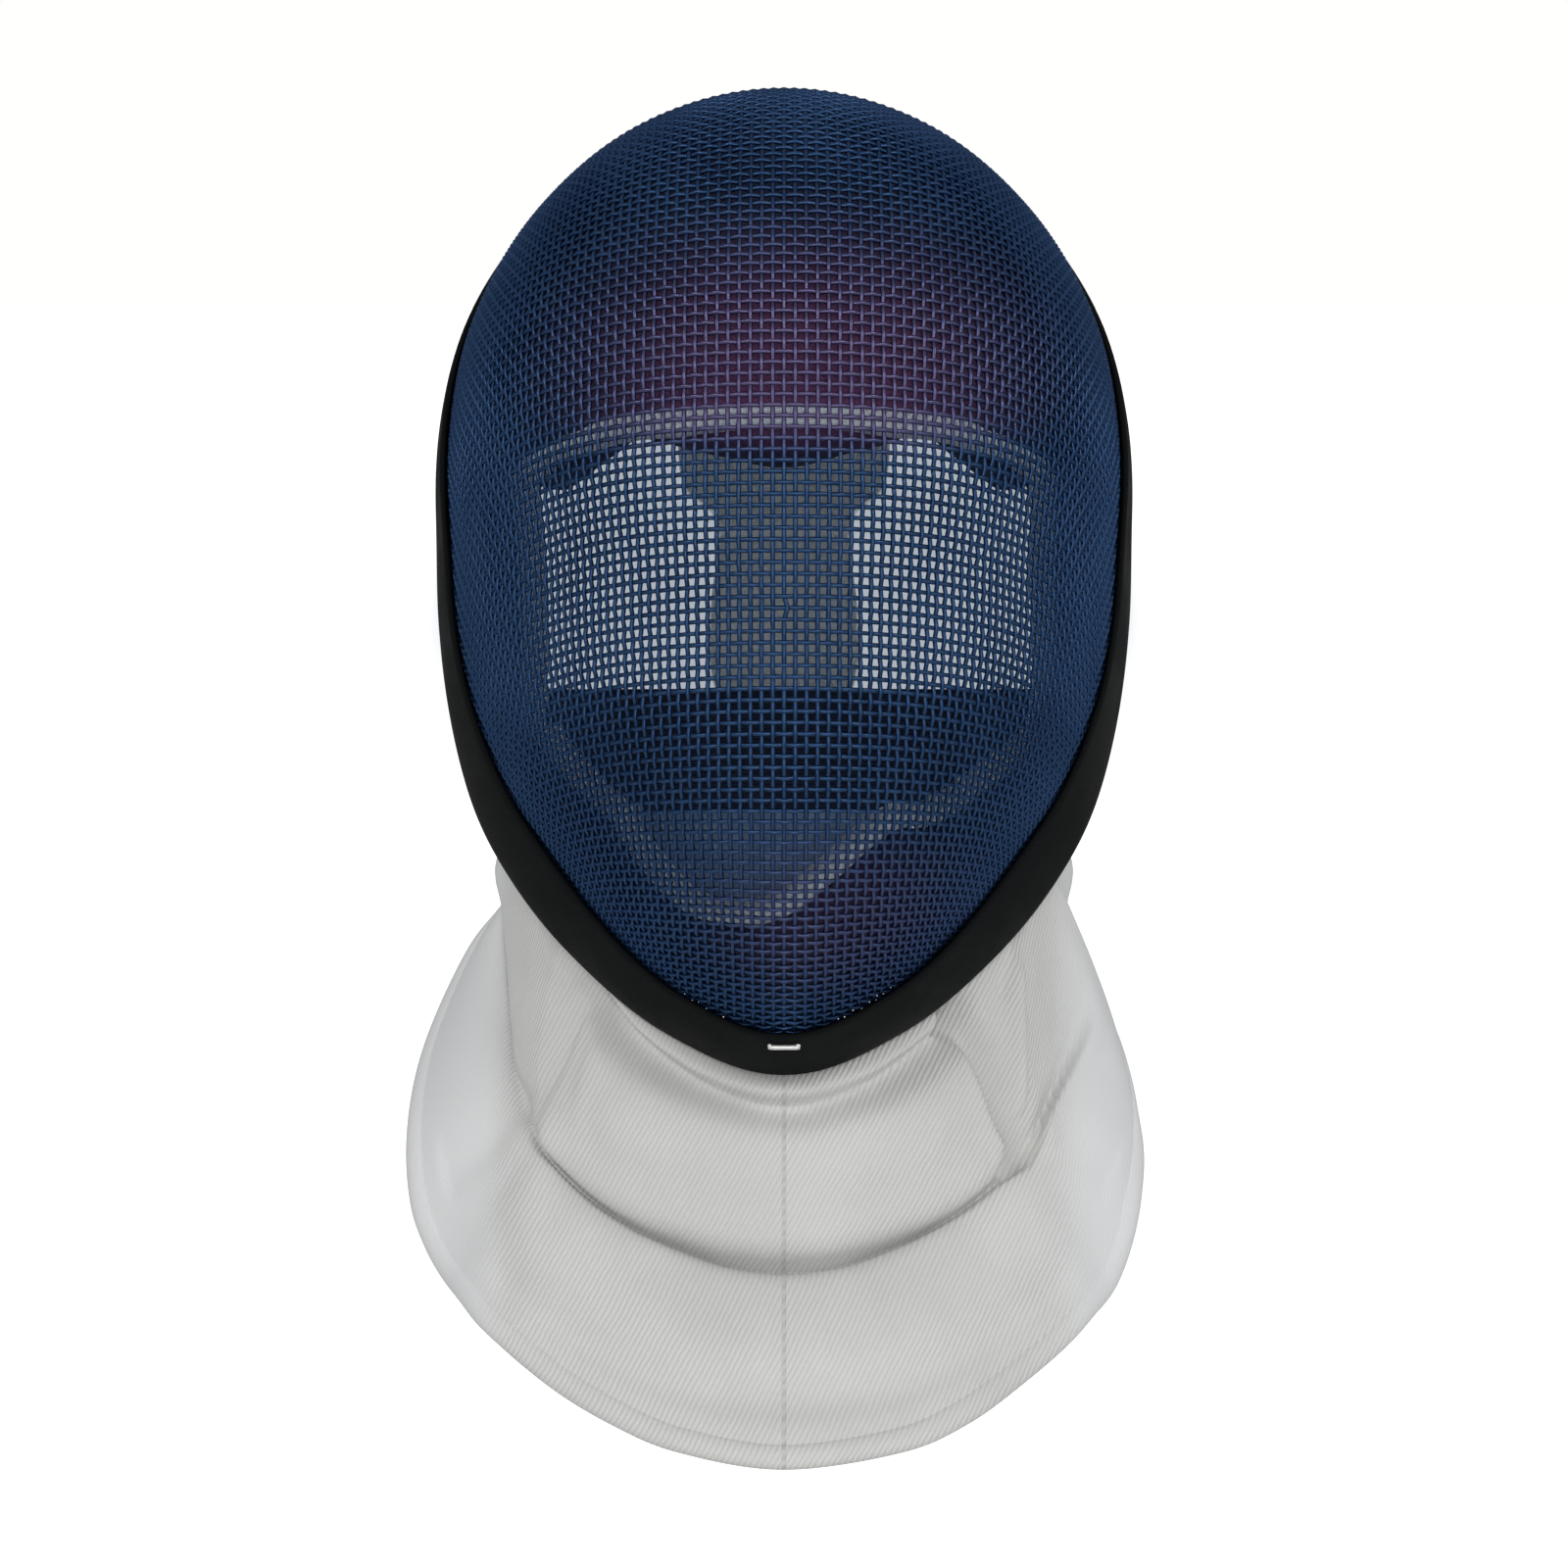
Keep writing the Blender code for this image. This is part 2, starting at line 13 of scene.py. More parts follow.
import bpy
import numpy as np
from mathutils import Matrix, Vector


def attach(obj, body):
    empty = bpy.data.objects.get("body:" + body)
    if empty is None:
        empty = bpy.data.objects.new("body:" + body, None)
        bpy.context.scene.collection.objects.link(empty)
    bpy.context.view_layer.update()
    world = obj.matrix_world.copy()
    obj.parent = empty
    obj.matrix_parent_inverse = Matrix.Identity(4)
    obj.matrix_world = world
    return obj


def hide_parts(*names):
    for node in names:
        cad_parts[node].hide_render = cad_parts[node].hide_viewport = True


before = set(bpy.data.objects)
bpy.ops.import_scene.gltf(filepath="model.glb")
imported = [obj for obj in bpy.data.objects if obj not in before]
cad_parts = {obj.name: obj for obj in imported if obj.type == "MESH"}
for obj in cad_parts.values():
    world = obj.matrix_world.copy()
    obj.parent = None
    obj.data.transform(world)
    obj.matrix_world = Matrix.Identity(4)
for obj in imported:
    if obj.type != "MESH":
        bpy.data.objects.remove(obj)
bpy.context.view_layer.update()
MM = 0.001
print("nodes:", ", ".join(sorted(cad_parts)))

# %% [markdown]
# ## The mask's own frame
#
# Every shape below is worked out in the mask's own frame: x to the right, depth backwards from
# the middle of the face, and height above it. The mask is worn with its face turned up a
# little, so one function turns points of that frame into the world. The world's origin is the
# spot in the crown pad that rests on the head.

# %% The mask's own frame
WORN_TILT = math.radians(9.0)
SEAT = np.array((0.0, 141.917, 126.101)) * MM
TURN = np.array((
    (1.0, 0.0, 0.0),
    (0.0, math.cos(WORN_TILT), math.sin(WORN_TILT)),
    (0.0, -math.sin(WORN_TILT), math.cos(WORN_TILT)),
))


def worn(points):
    """World places of points of the mask's frame."""
    return np.asarray(points, float) @ TURN.T - SEAT


def read_rows(rows, at):
    """Read a table at row numbers with fractions, along a smooth curve through its rows."""
    rows = np.asarray(rows, float)
    last = len(rows) - 1
    at = np.clip(np.asarray(at, float), 0, last - 1e-9)
    index = at.astype(int)
    part = at - index
    if rows.ndim == 2:
        part = part[..., None]
    longer = np.concatenate(([2 * rows[0] - rows[1]], rows, [2 * rows[-1] - rows[-2]]))
    p0, p1, p2, p3 = (longer[index + step] for step in range(4))
    square = 2 * p0 - 5 * p1 + 4 * p2 - p3
    cube = 3 * p1 - p0 - 3 * p2 + p3
    return p1 + 0.5 * part * ((p2 - p0) + part * (square + part * cube))


def bezier(start, near_start, near_end, end, part):
    """Points of a curve that leaves and reaches its ends towards two pulls, at parts from 0 to 1."""
    rest = 1 - part
    return (start * rest ** 3 + near_start * 3 * rest ** 2 * part
            + near_end * 3 * rest * part ** 2 + end * part ** 3)


print("worn tilt, degrees:", round(math.degrees(WORN_TILT), 1))

# %% [markdown]
# ## The dome
#
# The face is not a ball: it falls back slowly over the crown, quicker at the cheeks, and is
# narrow at the chin. Its outline in the front view is a short table of distances, one every
# 15 degrees from straight down to straight up, and a power curve says how fast the surface
# turns away behind that outline. A spot on it is given by a direction in the front view and a
# sweep, which is 0 in the middle of the face.

# %% The dome
WALL = 2.2 * MM
OUTLINE_STEP = 15
OUTLINE = np.array(
    (150, 137.6, 121, 109.6, 104.8, 102.8, 103.6, 108, 119.2, 133.8, 147, 157.2, 161)) * MM
MIRRORED_OUTLINE = np.concatenate(([OUTLINE[1]], OUTLINE, [OUTLINE[-2]]))
CROWN_DEEP, SIDE_DEEP, CHIN_DEEP = 123.7 * MM, 162.0 * MM, 200.0 * MM
CROWN_ROUND, SIDE_ROUND, CHIN_ROUND = 1.12, 0.92, 1.24
RIM_HEIGHTS = np.array((-132, -100, -60, 0, 60, 110, 151)) * MM
RIM_DEPTHS = np.array((80, 100, 120, 135, 150, 166, 173)) * MM
RIM_NEAREST, RIM_FARTHEST = 0.3, 2.2   # sweeps between which the rim lies everywhere
SWEEP_STEP, ONWARD_STEP, PACE_STEP = 0.01, 0.02, 0.1       # to measure slopes and lengths
HALVINGS = 26                          # each one halves what is left between two limits


def dome(direction, sweep):
    """Points on the outside of the wire, at a sweep from the middle of the face."""
    direction, sweep = np.broadcast_arrays(np.asarray(direction, float), np.asarray(sweep, float))
    upright = np.sin(direction) ** 2
    crown = np.sin(direction) >= 0
    deep = SIDE_DEEP * (1 - upright) + np.where(crown, CROWN_DEEP, CHIN_DEEP) * upright
    power = SIDE_ROUND * (1 - upright) + np.where(crown, CROWN_ROUND, CHIN_ROUND) * upright
    steepness = np.degrees(np.arcsin(np.clip(np.sin(direction), -1, 1)))
    outline = read_rows(MIRRORED_OUTLINE, (steepness + 90) / OUTLINE_STEP + 1)
    radius = outline * np.sin(sweep)
    depth = deep * (1 - np.cos(sweep)) ** power
    return np.stack((radius * np.cos(direction), depth, radius * np.sin(direction)), axis=-1)


def unit(vectors):
    """Vectors drawn to a length of one."""
    vectors = np.asarray(vectors, float)
    return vectors / np.linalg.norm(vectors, axis=-1, keepdims=True)


def under_dome(direction, sweep, under):
    """Points at a distance under the outside of the wire; a negative one stands proud."""
    sweep = np.maximum(sweep, SWEEP_STEP)
    along = dome(direction, sweep + SWEEP_STEP) - dome(direction, sweep - SWEEP_STEP)
    across = dome(direction + SWEEP_STEP, sweep) - dome(direction - SWEEP_STEP, sweep)
    inward = unit(np.cross(across, along))
    return dome(direction, sweep) + inward * np.asarray(under)[..., None]


def halve(low, high, is_before):
    """Find, for each value, where a test turns from true to false between two limits."""
    for _ in range(HALVINGS):
        middle = (low + high) / 2
        before = is_before(middle)
        low, high = np.where(before, middle, low), np.where(before, high, middle)
    return low


def bump_at(value, centre, wide):
    """A smooth bump of height one round a centre."""
    return np.exp(-((value - centre) / wide) ** 2)


def rise(value, low, high):
    """A smooth step from 0 to 1 between two values."""
    share = np.clip((value - low) / (high - low), 0, 1)
    return share * share * (3 - 2 * share)


print("middle of the face, mm:", np.round(dome(0.0, 0.0) / MM, 1))

# %% [markdown]
# The dome ends at the rim, a line that is given in the side view as depths at some heights.
# The trim, the strap and the bib are all placed by their distance to that rim, in front of it
# along the wire or straight on past it.

# %% The rim


def rim_sweep(direction):
    """Sweep at which the dome ends, from the rim's line in the side view."""
    direction = np.asarray(direction, float)

    def in_front(sweep):
        points = dome(direction, sweep)
        rows = np.interp(points[..., 2], RIM_HEIGHTS, np.arange(len(RIM_HEIGHTS)))
        return points[..., 1] < read_rows(RIM_DEPTHS, rows)
    return halve(
        np.full(direction.shape, RIM_NEAREST), np.full(direction.shape, RIM_FARTHEST), in_front)


def pace(direction, sweep):
    """Length of wire for one unit of sweep, in front of a place."""
    before = dome(direction, sweep - PACE_STEP)
    return np.linalg.norm(dome(direction, sweep) - before, axis=-1) / PACE_STEP


def sweep_from_rim(direction, distance):
    """Sweep at a distance in front of the rim, along the wire."""
    sweep = rim_sweep(direction)
    return sweep - distance / pace(direction, sweep)


def near_rim(direction, distance, under):
    """Points near the rim: in front of it along the wire, or straight on past it."""
    direction, distance, under = np.broadcast_arrays(
        np.asarray(direction, float), np.asarray(distance, float), np.asarray(under, float))
    sweep = rim_sweep(direction)
    onward = unit(dome(direction, sweep) - dome(direction, sweep - ONWARD_STEP))
    before = sweep - np.maximum(distance, 0) / pace(direction, sweep)
    inside = under_dome(direction, before, under)
    return inside - onward * np.minimum(distance, 0)[..., None]


down_and_up = np.radians((-90, 90))
print("height of the rim at chin and crown, mm:",
      np.round(dome(down_and_up, rim_sweep(down_and_up))[:, 2] / MM, 1))

# %% [markdown]
# ## Making pieces
#
# A few helpers do what repeats. One adds a grid and lays it over a shape that a function
# gives, one adds a torus and draws its rings to a section, and one runs cords along paths.

# %% Helpers that make pieces


def deselect():
    """Leave nothing selected, so that an operator touches only what is added next."""
    bpy.ops.object.select_all(action="DESELECT")


def active_only(piece):
    """Select one piece and make it the active one."""
    deselect()
    piece.select_set(True)
    bpy.context.view_layer.objects.active = piece


def set_points(piece, points):
    """Move all vertices of a piece to world places."""
    piece.data.vertices.foreach_set("co", np.asarray(points, np.float32).ravel())
    piece.data.update()


def get_points(piece):
    """World places of all vertices of a piece."""
    points = np.empty(len(piece.data.vertices) * 3, np.float32)
    piece.data.vertices.foreach_get("co", points)
    return points.reshape(-1, 3).astype(float)


def lay_grid(columns, rows, place):
    """A grid laid over place(across, down), both arrays from 0 to 1, in the mask's frame."""
    deselect()
    bpy.ops.mesh.primitive_grid_add(x_subdivisions=columns, y_subdivisions=rows, size=1)
    piece = bpy.context.object
    flat = get_points(piece)
    across, down = flat[:, 0] + 0.5, 0.5 - flat[:, 1]
    set_points(piece, worn(place(across, down)))
    return piece, across, down


def outward_faces(piece):
    """Turn the faces of a closed piece outwards."""
    active_only(piece)
    bpy.ops.object.mode_set(mode="EDIT")
    bpy.ops.mesh.select_all(action="SELECT")
    bpy.ops.mesh.normals_make_consistent(inside=False)
    bpy.ops.object.mode_set(mode="OBJECT")


def lay_ring(around, section, place):
    """A torus whose rings are drawn to place(turn, index), in the mask's frame."""
    deselect()
    bpy.ops.mesh.primitive_torus_add(
        major_segments=around, minor_segments=section, major_radius=1, minor_radius=0.2)
    piece = bpy.context.object
    number = np.arange(around * section)
    set_points(piece, worn(place(2 * math.pi * (number // section) / around, number % section)))
    outward_faces(piece)
    return piece


def run_cords(paths, thickness, sides):
    """Round cords along lists of world points, with closed ends, as one mesh."""
    curve = bpy.data.curves.new("cords", "CURVE")
    curve.dimensions = "3D"
    curve.bevel_depth = thickness / 2
    curve.bevel_resolution = (sides - 4) // 2
    curve.use_fill_caps = True
    for path in paths:
        spline = curve.splines.new("POLY")
        spline.points.add(len(path) - 1)
        spline.points.foreach_set("co", np.column_stack((path, np.ones(len(path)))).ravel())
    piece = bpy.data.objects.new("cords", curve)
    bpy.context.scene.collection.objects.link(piece)
    active_only(piece)
    bpy.ops.object.convert(target="MESH")
    return bpy.context.object


# %% [markdown]
# A piece made that way is then turned the right way out, gets its thickness and its rounded
# edges from modifiers, and is filed: it rides on the frame, hides the imported nodes that it
# stands for, and takes its material.

# %% Helpers that finish pieces


def face_way(piece, wanted):
    """Flip an open sheet whose faces look away from the side that is wanted."""
    normals = np.empty(len(piece.data.polygons) * 3, np.float32)
    piece.data.polygons.foreach_get("normal", normals)
    if normals.reshape(-1, 3).mean(axis=0) @ np.asarray(wanted, float) < 0:
        piece.data.flip_normals()


def apply_modifier(piece, kind, **settings):
    """Add a modifier with its settings and apply it."""
    modifier = piece.modifiers.new(kind.lower(), kind)
    for name, value in settings.items():
        setattr(modifier, name, value)
    active_only(piece)
    bpy.ops.object.modifier_apply(modifier=modifier.name)


def file_piece(piece, name, material, slot, *nodes):
    """Name a finished piece, give it its material and file it with the frame."""
    piece.name = name
    piece.data.name = name
    piece.data.materials.clear()
    piece.data.materials.append(material)
    piece.data.shade_smooth()
    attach(piece, "root")
    if nodes:
        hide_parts(*nodes)
    triangles = sum(len(face.vertices) - 2 for face in piece.data.polygons)
    print(f"{name}: {triangles} triangles")
    return piece


# %% [markdown]
# ## Making materials
#
# Each material keeps its own Principled shader. What several of them share, such as a fine
# grain or the ribs of a cloth, is a node group with named inputs, built once. A group gives
# out only a mask or a height, and the material decides what that does to its colour.

# %% Helpers that make materials


def new_material(name, plain):
    """A material, its tree and its own Principled shader, with what is the same all over it."""
    material = bpy.data.materials.new(name)
    material.use_nodes = True
    shader = material.node_tree.nodes["Principled BSDF"]
    for label, value in plain.items():
        shader.inputs[label].default_value = value
    return material, material.node_tree, shader


def add_node(tree, kind, **settings):
    """Add a node and set what is named."""
    node = tree.nodes.new(kind)
    for name, value in settings.items():
        setattr(node, name, value)
    return node


def feed(tree, socket, value):
    """Set a socket to a plain value, or link it to another node's output."""
    if isinstance(value, bpy.types.NodeSocket):
        tree.links.new(value, socket)
    else:
        socket.default_value = value


def split_place(tree, place):
    """The three numbers of a place, as output sockets."""
    node = add_node(tree, "ShaderNodeSeparateXYZ")
    feed(tree, node.inputs[0], place)
    return node.outputs


def calculate(tree, operation, *values):
    """A Math node with its values, as an output socket."""
    node = add_node(tree, "ShaderNodeMath", operation=operation)
    for socket, value in zip(node.inputs, values):
        feed(tree, socket, value)
    return node.outputs[0]


def blend_colours(tree, share, first, second):
    """Mix two colours by a share, as an output socket."""
    node = add_node(tree, "ShaderNodeMix", data_type="RGBA")
    feed(tree, node.inputs["Factor"], share)
    feed(tree, node.inputs[6], first)
    feed(tree, node.inputs[7], second)
    return node.outputs[2]


def from_range(tree, value, low, high, new_low=0.0, new_high=1.0):
    """Carry a value from one range to another, smoothly and with its ends held."""
    node = add_node(tree, "ShaderNodeMapRange", interpolation_type="SMOOTHSTEP")
    for socket, number in zip(node.inputs, (value, low, high, new_low, new_high)):
        feed(tree, socket, number)
    return node.outputs[0]


def add_bump(tree, shader, height, distance):
    """Feed a height through a Bump node into a shader's normal."""
    bump = add_node(tree, "ShaderNodeBump")
    bump.inputs["Distance"].default_value = distance
    feed(tree, bump.inputs["Height"], height)
    feed(tree, shader.inputs["Normal"], bump.outputs["Normal"])


print("materials so far:", len(bpy.data.materials))

# %% [markdown]
# A node group is made from a list of its inputs and a list of its outputs. Materials take
# their places from the piece's own coordinates, or from the cloth map of a piece of cloth.

# %% Helpers for node groups and places
FLOAT, VECTOR = "NodeSocketFloat", "NodeSocketVector"


def new_group(name, inputs, outputs):
    """An empty node group with named float or vector sockets, and its two end nodes."""
    group = bpy.data.node_groups.new(name, "ShaderNodeTree")
    for label, kind, value in inputs:
        socket = group.interface.new_socket(label, in_out="INPUT", socket_type=kind)
        if value is not None:
            socket.default_value = value
    for label in outputs:
        group.interface.new_socket(label, in_out="OUTPUT", socket_type="NodeSocketFloat")
    start = add_node(group, "NodeGroupInput")
    end = add_node(group, "NodeGroupOutput")
    return group, start.outputs, end.inputs


def place_group(tree, group, **values):
    """Place a group in a material and set or link its inputs, underscores for spaces."""
    node = add_node(tree, "ShaderNodeGroup", node_tree=group)
    for name, value in values.items():
        feed(tree, node.inputs[name.replace("_", " ").capitalize()], value)
    return node.outputs


def object_place(tree):
    """The Object coordinates of a material, as an output socket."""
    return add_node(tree, "ShaderNodeTexCoord").outputs["Object"]


def cloth_place(tree):
    """The piece's own cloth map, in metres, as an output socket."""
    return add_node(tree, "ShaderNodeUVMap", uv_map="cloth").outputs["UV"]


def spot_distance(tree, centre, radii):
    """Distance from a spot, in its own radii, as an output socket."""
    shift = add_node(tree, "ShaderNodeVectorMath", operation="SUBTRACT")
    shift.inputs[1].default_value = centre
    feed(tree, shift.inputs[0], object_place(tree))
    share = add_node(tree, "ShaderNodeVectorMath", operation="DIVIDE")
    share.inputs[1].default_value = radii
    feed(tree, share.inputs[0], shift.outputs["Vector"])
    length = add_node(tree, "ShaderNodeVectorMath", operation="LENGTH")
    feed(tree, length.inputs[0], share.outputs["Vector"])
    return length.outputs["Value"]


print("node groups so far:", len(bpy.data.node_groups))

# %% [markdown]
# ## A shared grain
#
# No real surface is even. This group puts out a soft cloudy mask and a fine speckle from the
# piece's own coordinates, and each material uses them for a little unevenness of its colour
# and its roughness.

# %% The shared grain
NOISE_LOW, NOISE_HIGH = 0.3, 0.7       # the noise hardly leaves this range
FINE_SPECKS = 0.5                      # millimetres

grain, given, put = new_group(
    "uneven grain",
    (("Place", VECTOR, None), ("Cloud size", FLOAT, 20.0), ("Speck size", FLOAT, 0.5)),
    ("Cloud", "Speck"))
for label, size, detail in (("Cloud", "Cloud size", 3), ("Speck", "Speck size", 2)):
    noise = add_node(grain, "ShaderNodeTexNoise")
    noise.inputs["Detail"].default_value = detail
    feed(grain, noise.inputs["Vector"], given["Place"])
    feed(grain, noise.inputs["Scale"], calculate(grain, "DIVIDE", 1 / MM, given[size]))
    feed(grain, put[label], from_range(grain, noise.outputs["Fac"], NOISE_LOW, NOISE_HIGH))


def add_grain(tree, cloud_size, speck_size):
    """Place the grain in a material, with its sizes in millimetres."""
    return place_group(
        tree, grain, place=object_place(tree), cloud_size=cloud_size, speck_size=speck_size)


def cloudy_cloth(name, plain, darker, paler, cloud_size, nap):
    """A plain cloth: two colours that lie near each other in soft clouds, and a fine nap."""
    material, tree, shader = new_material(name, plain)
    parts = add_grain(tree, cloud_size, FINE_SPECKS)
    feed(tree, shader.inputs["Base Color"], blend_colours(tree, parts["Cloud"], darker, paler))
    add_bump(tree, shader, parts["Speck"], nap)
    return material


print("nodes in the grain:", len(grain.nodes))

# %% [markdown]
# ## Ribs of cloth
#
# Twill shows fine slanting ribs, elastic webbing shows straight ones, and both are made of
# threads that cross them. The group reads the cloth map, whose first number runs across the
# ribs in metres and whose second runs along them, so that the ribs keep their real width
# wherever the cloth bends.

# %% Ribs of cloth
RIB_SLIP, SLIP_SCALE = 1.2 * MM, 90.0  # a rib wanders sideways by at most this slip
THREAD_DEEP = 0.12                     # threads take away up to twice this part of a rib
GROOVE_FROM = 0.55                     # below this height, the groove begins

ribs, given, put = new_group(
    "cloth ribs",
    (("Place", VECTOR, None), ("Rib", FLOAT, 1.6), ("Thread", FLOAT, 0.8)),
    ("Height", "Groove"))
wobble = add_node(ribs, "ShaderNodeTexNoise")
wobble.inputs["Scale"].default_value = SLIP_SCALE
feed(ribs, wobble.inputs["Vector"], given["Place"])
cloth_at = split_place(ribs, given["Place"])
slip = calculate(ribs, "MULTIPLY", wobble.outputs["Fac"], RIB_SLIP)
across = calculate(ribs, "ADD", cloth_at["X"], slip)
turns = calculate(ribs, "DIVIDE", calculate(ribs, "MULTIPLY", across, math.pi / MM), given["Rib"])
crest = calculate(ribs, "ABSOLUTE", calculate(ribs, "SINE", turns))
along = calculate(ribs, "MULTIPLY", cloth_at["Y"], 2 * math.pi / MM)
knots = calculate(ribs, "SINE", calculate(ribs, "DIVIDE", along, given["Thread"]))
bead = calculate(ribs, "MULTIPLY_ADD", knots, THREAD_DEEP, 1 - THREAD_DEEP)
feed(ribs, put["Height"], calculate(ribs, "MULTIPLY", crest, bead))
# the groove mask, with which the cloth materials paint shade into the grooves between ribs
feed(ribs, put["Groove"], from_range(ribs, crest, GROOVE_FROM, 0.0))
print("nodes in the ribs:", len(ribs.nodes))

# %% [markdown]
# ## The wire
#
# Real mask wire is woven flat, one over and one under, and pressed into the dome. Steel wire
# hardly stretches, so the pressed net keeps its spacing along both sets of wires, and only the
# corners between them shear. That gives a way to build it: start from one row and one column,
# and find each further crossing as the spot on the dome that is one spacing away from its two
# neighbours. Drawn as a pattern on a shell it would look painted, and the pads behind would
# not show through, so each wire is a real tube.

# %% Lay the net over the dome
SPACING = 3.1 * MM
WIRE = 1.28 * MM
CRIMP = 0.38 * MM                     # how far a crossing lifts a wire
COLUMNS, ROWS_UP, ROWS_DOWN = 74, 92, 58
ROW_DROP, ROW_SAG = 0.08, 1.3          # the starting row sinks as it goes round the cheek
NUDGE, ROUNDS, MISSED_BY = 1e-5, 7, 1e-7
NET_SWEEP = 2.15                       # no crossing lies farther round than this sweep
FIRST_PACE = 0.11                      # metres of wire for one unit of sweep, mid-face
SHORT_OF_RIM = 0.004                   # sweep between the last crossings and the rim


def net_points(places):
    """Dome points of places given as sweeps to the right and upwards."""
    return dome(np.arctan2(places[:, 1], places[:, 0]), np.hypot(places[:, 0], places[:, 1]))


def settle(places, fault):
    """Slide places over the dome until both faults of each of them are nothing."""
    for _ in range(ROUNDS):
        now = fault(net_points(places))
        right = (fault(net_points(places + (NUDGE, 0))) - now) / NUDGE
        up = (fault(net_points(places + (0, NUDGE))) - now) / NUDGE
        size = right[:, 0] * up[:, 1] - right[:, 1] * up[:, 0]
        places = places - np.column_stack((
            now[:, 0] * up[:, 1] - now[:, 1] * up[:, 0],
            right[:, 0] * now[:, 1] - right[:, 1] * now[:, 0])) / size[:, None]
    missed = np.abs(fault(net_points(places))).max(axis=1) > MISSED_BY
    far = np.hypot(places[:, 0], places[:, 1]) > NET_SWEEP
    places[missed | far] = np.nan
    return places


def apart(points, others):
    """How far the distance to other points is from one spacing."""
    return np.linalg.norm(points - others, axis=1) - SPACING


def start_line(first, number, second_fault):
    """A line of crossings from the middle of the face, one spacing after the other."""
    places = [np.zeros(2)]
    lean = np.array(first) * SPACING / FIRST_PACE
    for _ in range(number):
        before = net_points(places[-1][None])

        def fault(points, before=before):
            return np.column_stack((apart(points, before), second_fault(points)))
        places.append(settle((places[-1] + lean)[None], fault)[0])
        lean = places[-1] - places[-2]
    return np.array(places)


def lay_quarter(row, column):
    """Fill the net between half a row and half a column, one diagonal after the other."""
    places = np.full((len(row), len(column), 2), np.nan)
    places[:, 0] = row
    places[0] = column
    for diagonal in range(2, len(row) + len(column) - 1):
        right = np.arange(max(1, diagonal - len(column) + 1), min(diagonal, len(row)))
        up = diagonal - right
        inner, lower = places[right - 1, up], places[right, up - 1]
        known = ~np.isnan(inner[:, 0] + lower[:, 0])
        right, up, inner, lower = right[known], up[known], inner[known], lower[known]
        if not len(right):
            continue
        from_inner, from_lower = net_points(inner), net_points(lower)

        def fault(points, from_inner=from_inner, from_lower=from_lower):
            return np.column_stack((apart(points, from_inner), apart(points, from_lower)))
        places[right, up] = settle(inner + lower - places[right - 1, up - 1], fault)
    return places


print("spacing of the wires, mm:", round(SPACING / MM, 1))

# %% [markdown]
# The starting row runs level round the face and sinks a little towards the cheek, and the
# starting column runs straight up and down the middle. The two quarters on the right are
# filled from them and then mirrored, because the mask is the same on both sides. A crossing
# is kept if it lies in front of the rim.

# %% Fill the net


def row_fault(points):
    """How far points are from the starting row, which sinks towards the cheek."""
    depth = points[:, 1]
    return points[:, 2] + ROW_DROP * depth + ROW_SAG * depth ** 2


starting_row = start_line((1, 0), COLUMNS, row_fault)
column_up = start_line((0, 1), ROWS_UP, lambda points: points[:, 0])
column_down = start_line((0, -1), ROWS_DOWN, lambda points: points[:, 0])
upper = lay_quarter(starting_row, column_up)
lower = lay_quarter(starting_row, column_down)
right_half = np.concatenate((lower[:, :0:-1], upper), axis=1)
left_half = right_half[:0:-1] * (-1, 1)
net = np.concatenate((left_half, right_half))
direction = np.arctan2(net[..., 1], net[..., 0])
sweep = np.hypot(net[..., 0], net[..., 1])
inside = ~np.isnan(sweep)
inside[inside] = sweep[inside] < rim_sweep(direction[inside]) - SHORT_OF_RIM
print("crossings in the net:", int(inside.sum()))

# %% [markdown]
# A wire of a plain weave rises over one crossing wire and dips under the next. A chessboard
# pattern says which of the two lies on top. The lift is about a third of the wire's thickness,
# because the finish joins the wires where they cross, and halfway between two crossings a wire
# is level with the middle of the net. The wires are made in four pieces, so that none of them
# is a very large mesh.

# %% Weave the wires
FEWEST_CROSSINGS = 3                   # a shorter stretch of wire would only be a stub
safe_direction = np.where(inside, direction, 0.0)
safe_sweep = np.where(inside, sweep, 0.5)
middle = under_dome(safe_direction, safe_sweep, np.full(sweep.shape, WALL / 2))
raised = under_dome(safe_direction, safe_sweep, np.full(sweep.shape, WALL / 2 - CRIMP))
lift = raised - middle
board = np.add.outer(np.arange(net.shape[0]), np.arange(net.shape[1])) % 2 * 2 - 1


def wire_paths(level, over, present):
    """Paths of the wires along the first axis of the arrays, in stretches inside the rim."""
    paths = []
    for line in range(present.shape[1]):
        inner = np.flatnonzero(present[:, line])
        if len(inner) < FEWEST_CROSSINGS:
            continue
        for stretch in np.split(inner, np.flatnonzero(np.diff(inner) > 1) + 1):
            if len(stretch) < FEWEST_CROSSINGS:
                continue
            path = np.empty((2 * len(stretch) - 1, 3))
            path[0::2] = over[stretch, line]
            path[1::2] = (level[stretch[1:], line] + level[stretch[:-1], line]) / 2
            paths.append(worn(path))
    return paths


row_paths = wire_paths(middle, middle + lift * board[..., None], inside)
column_paths = wire_paths(
    middle.transpose(1, 0, 2), (middle - lift * board[..., None]).transpose(1, 0, 2), inside.T)
print("wires:", len(row_paths), "across and", len(column_paths), "upright")
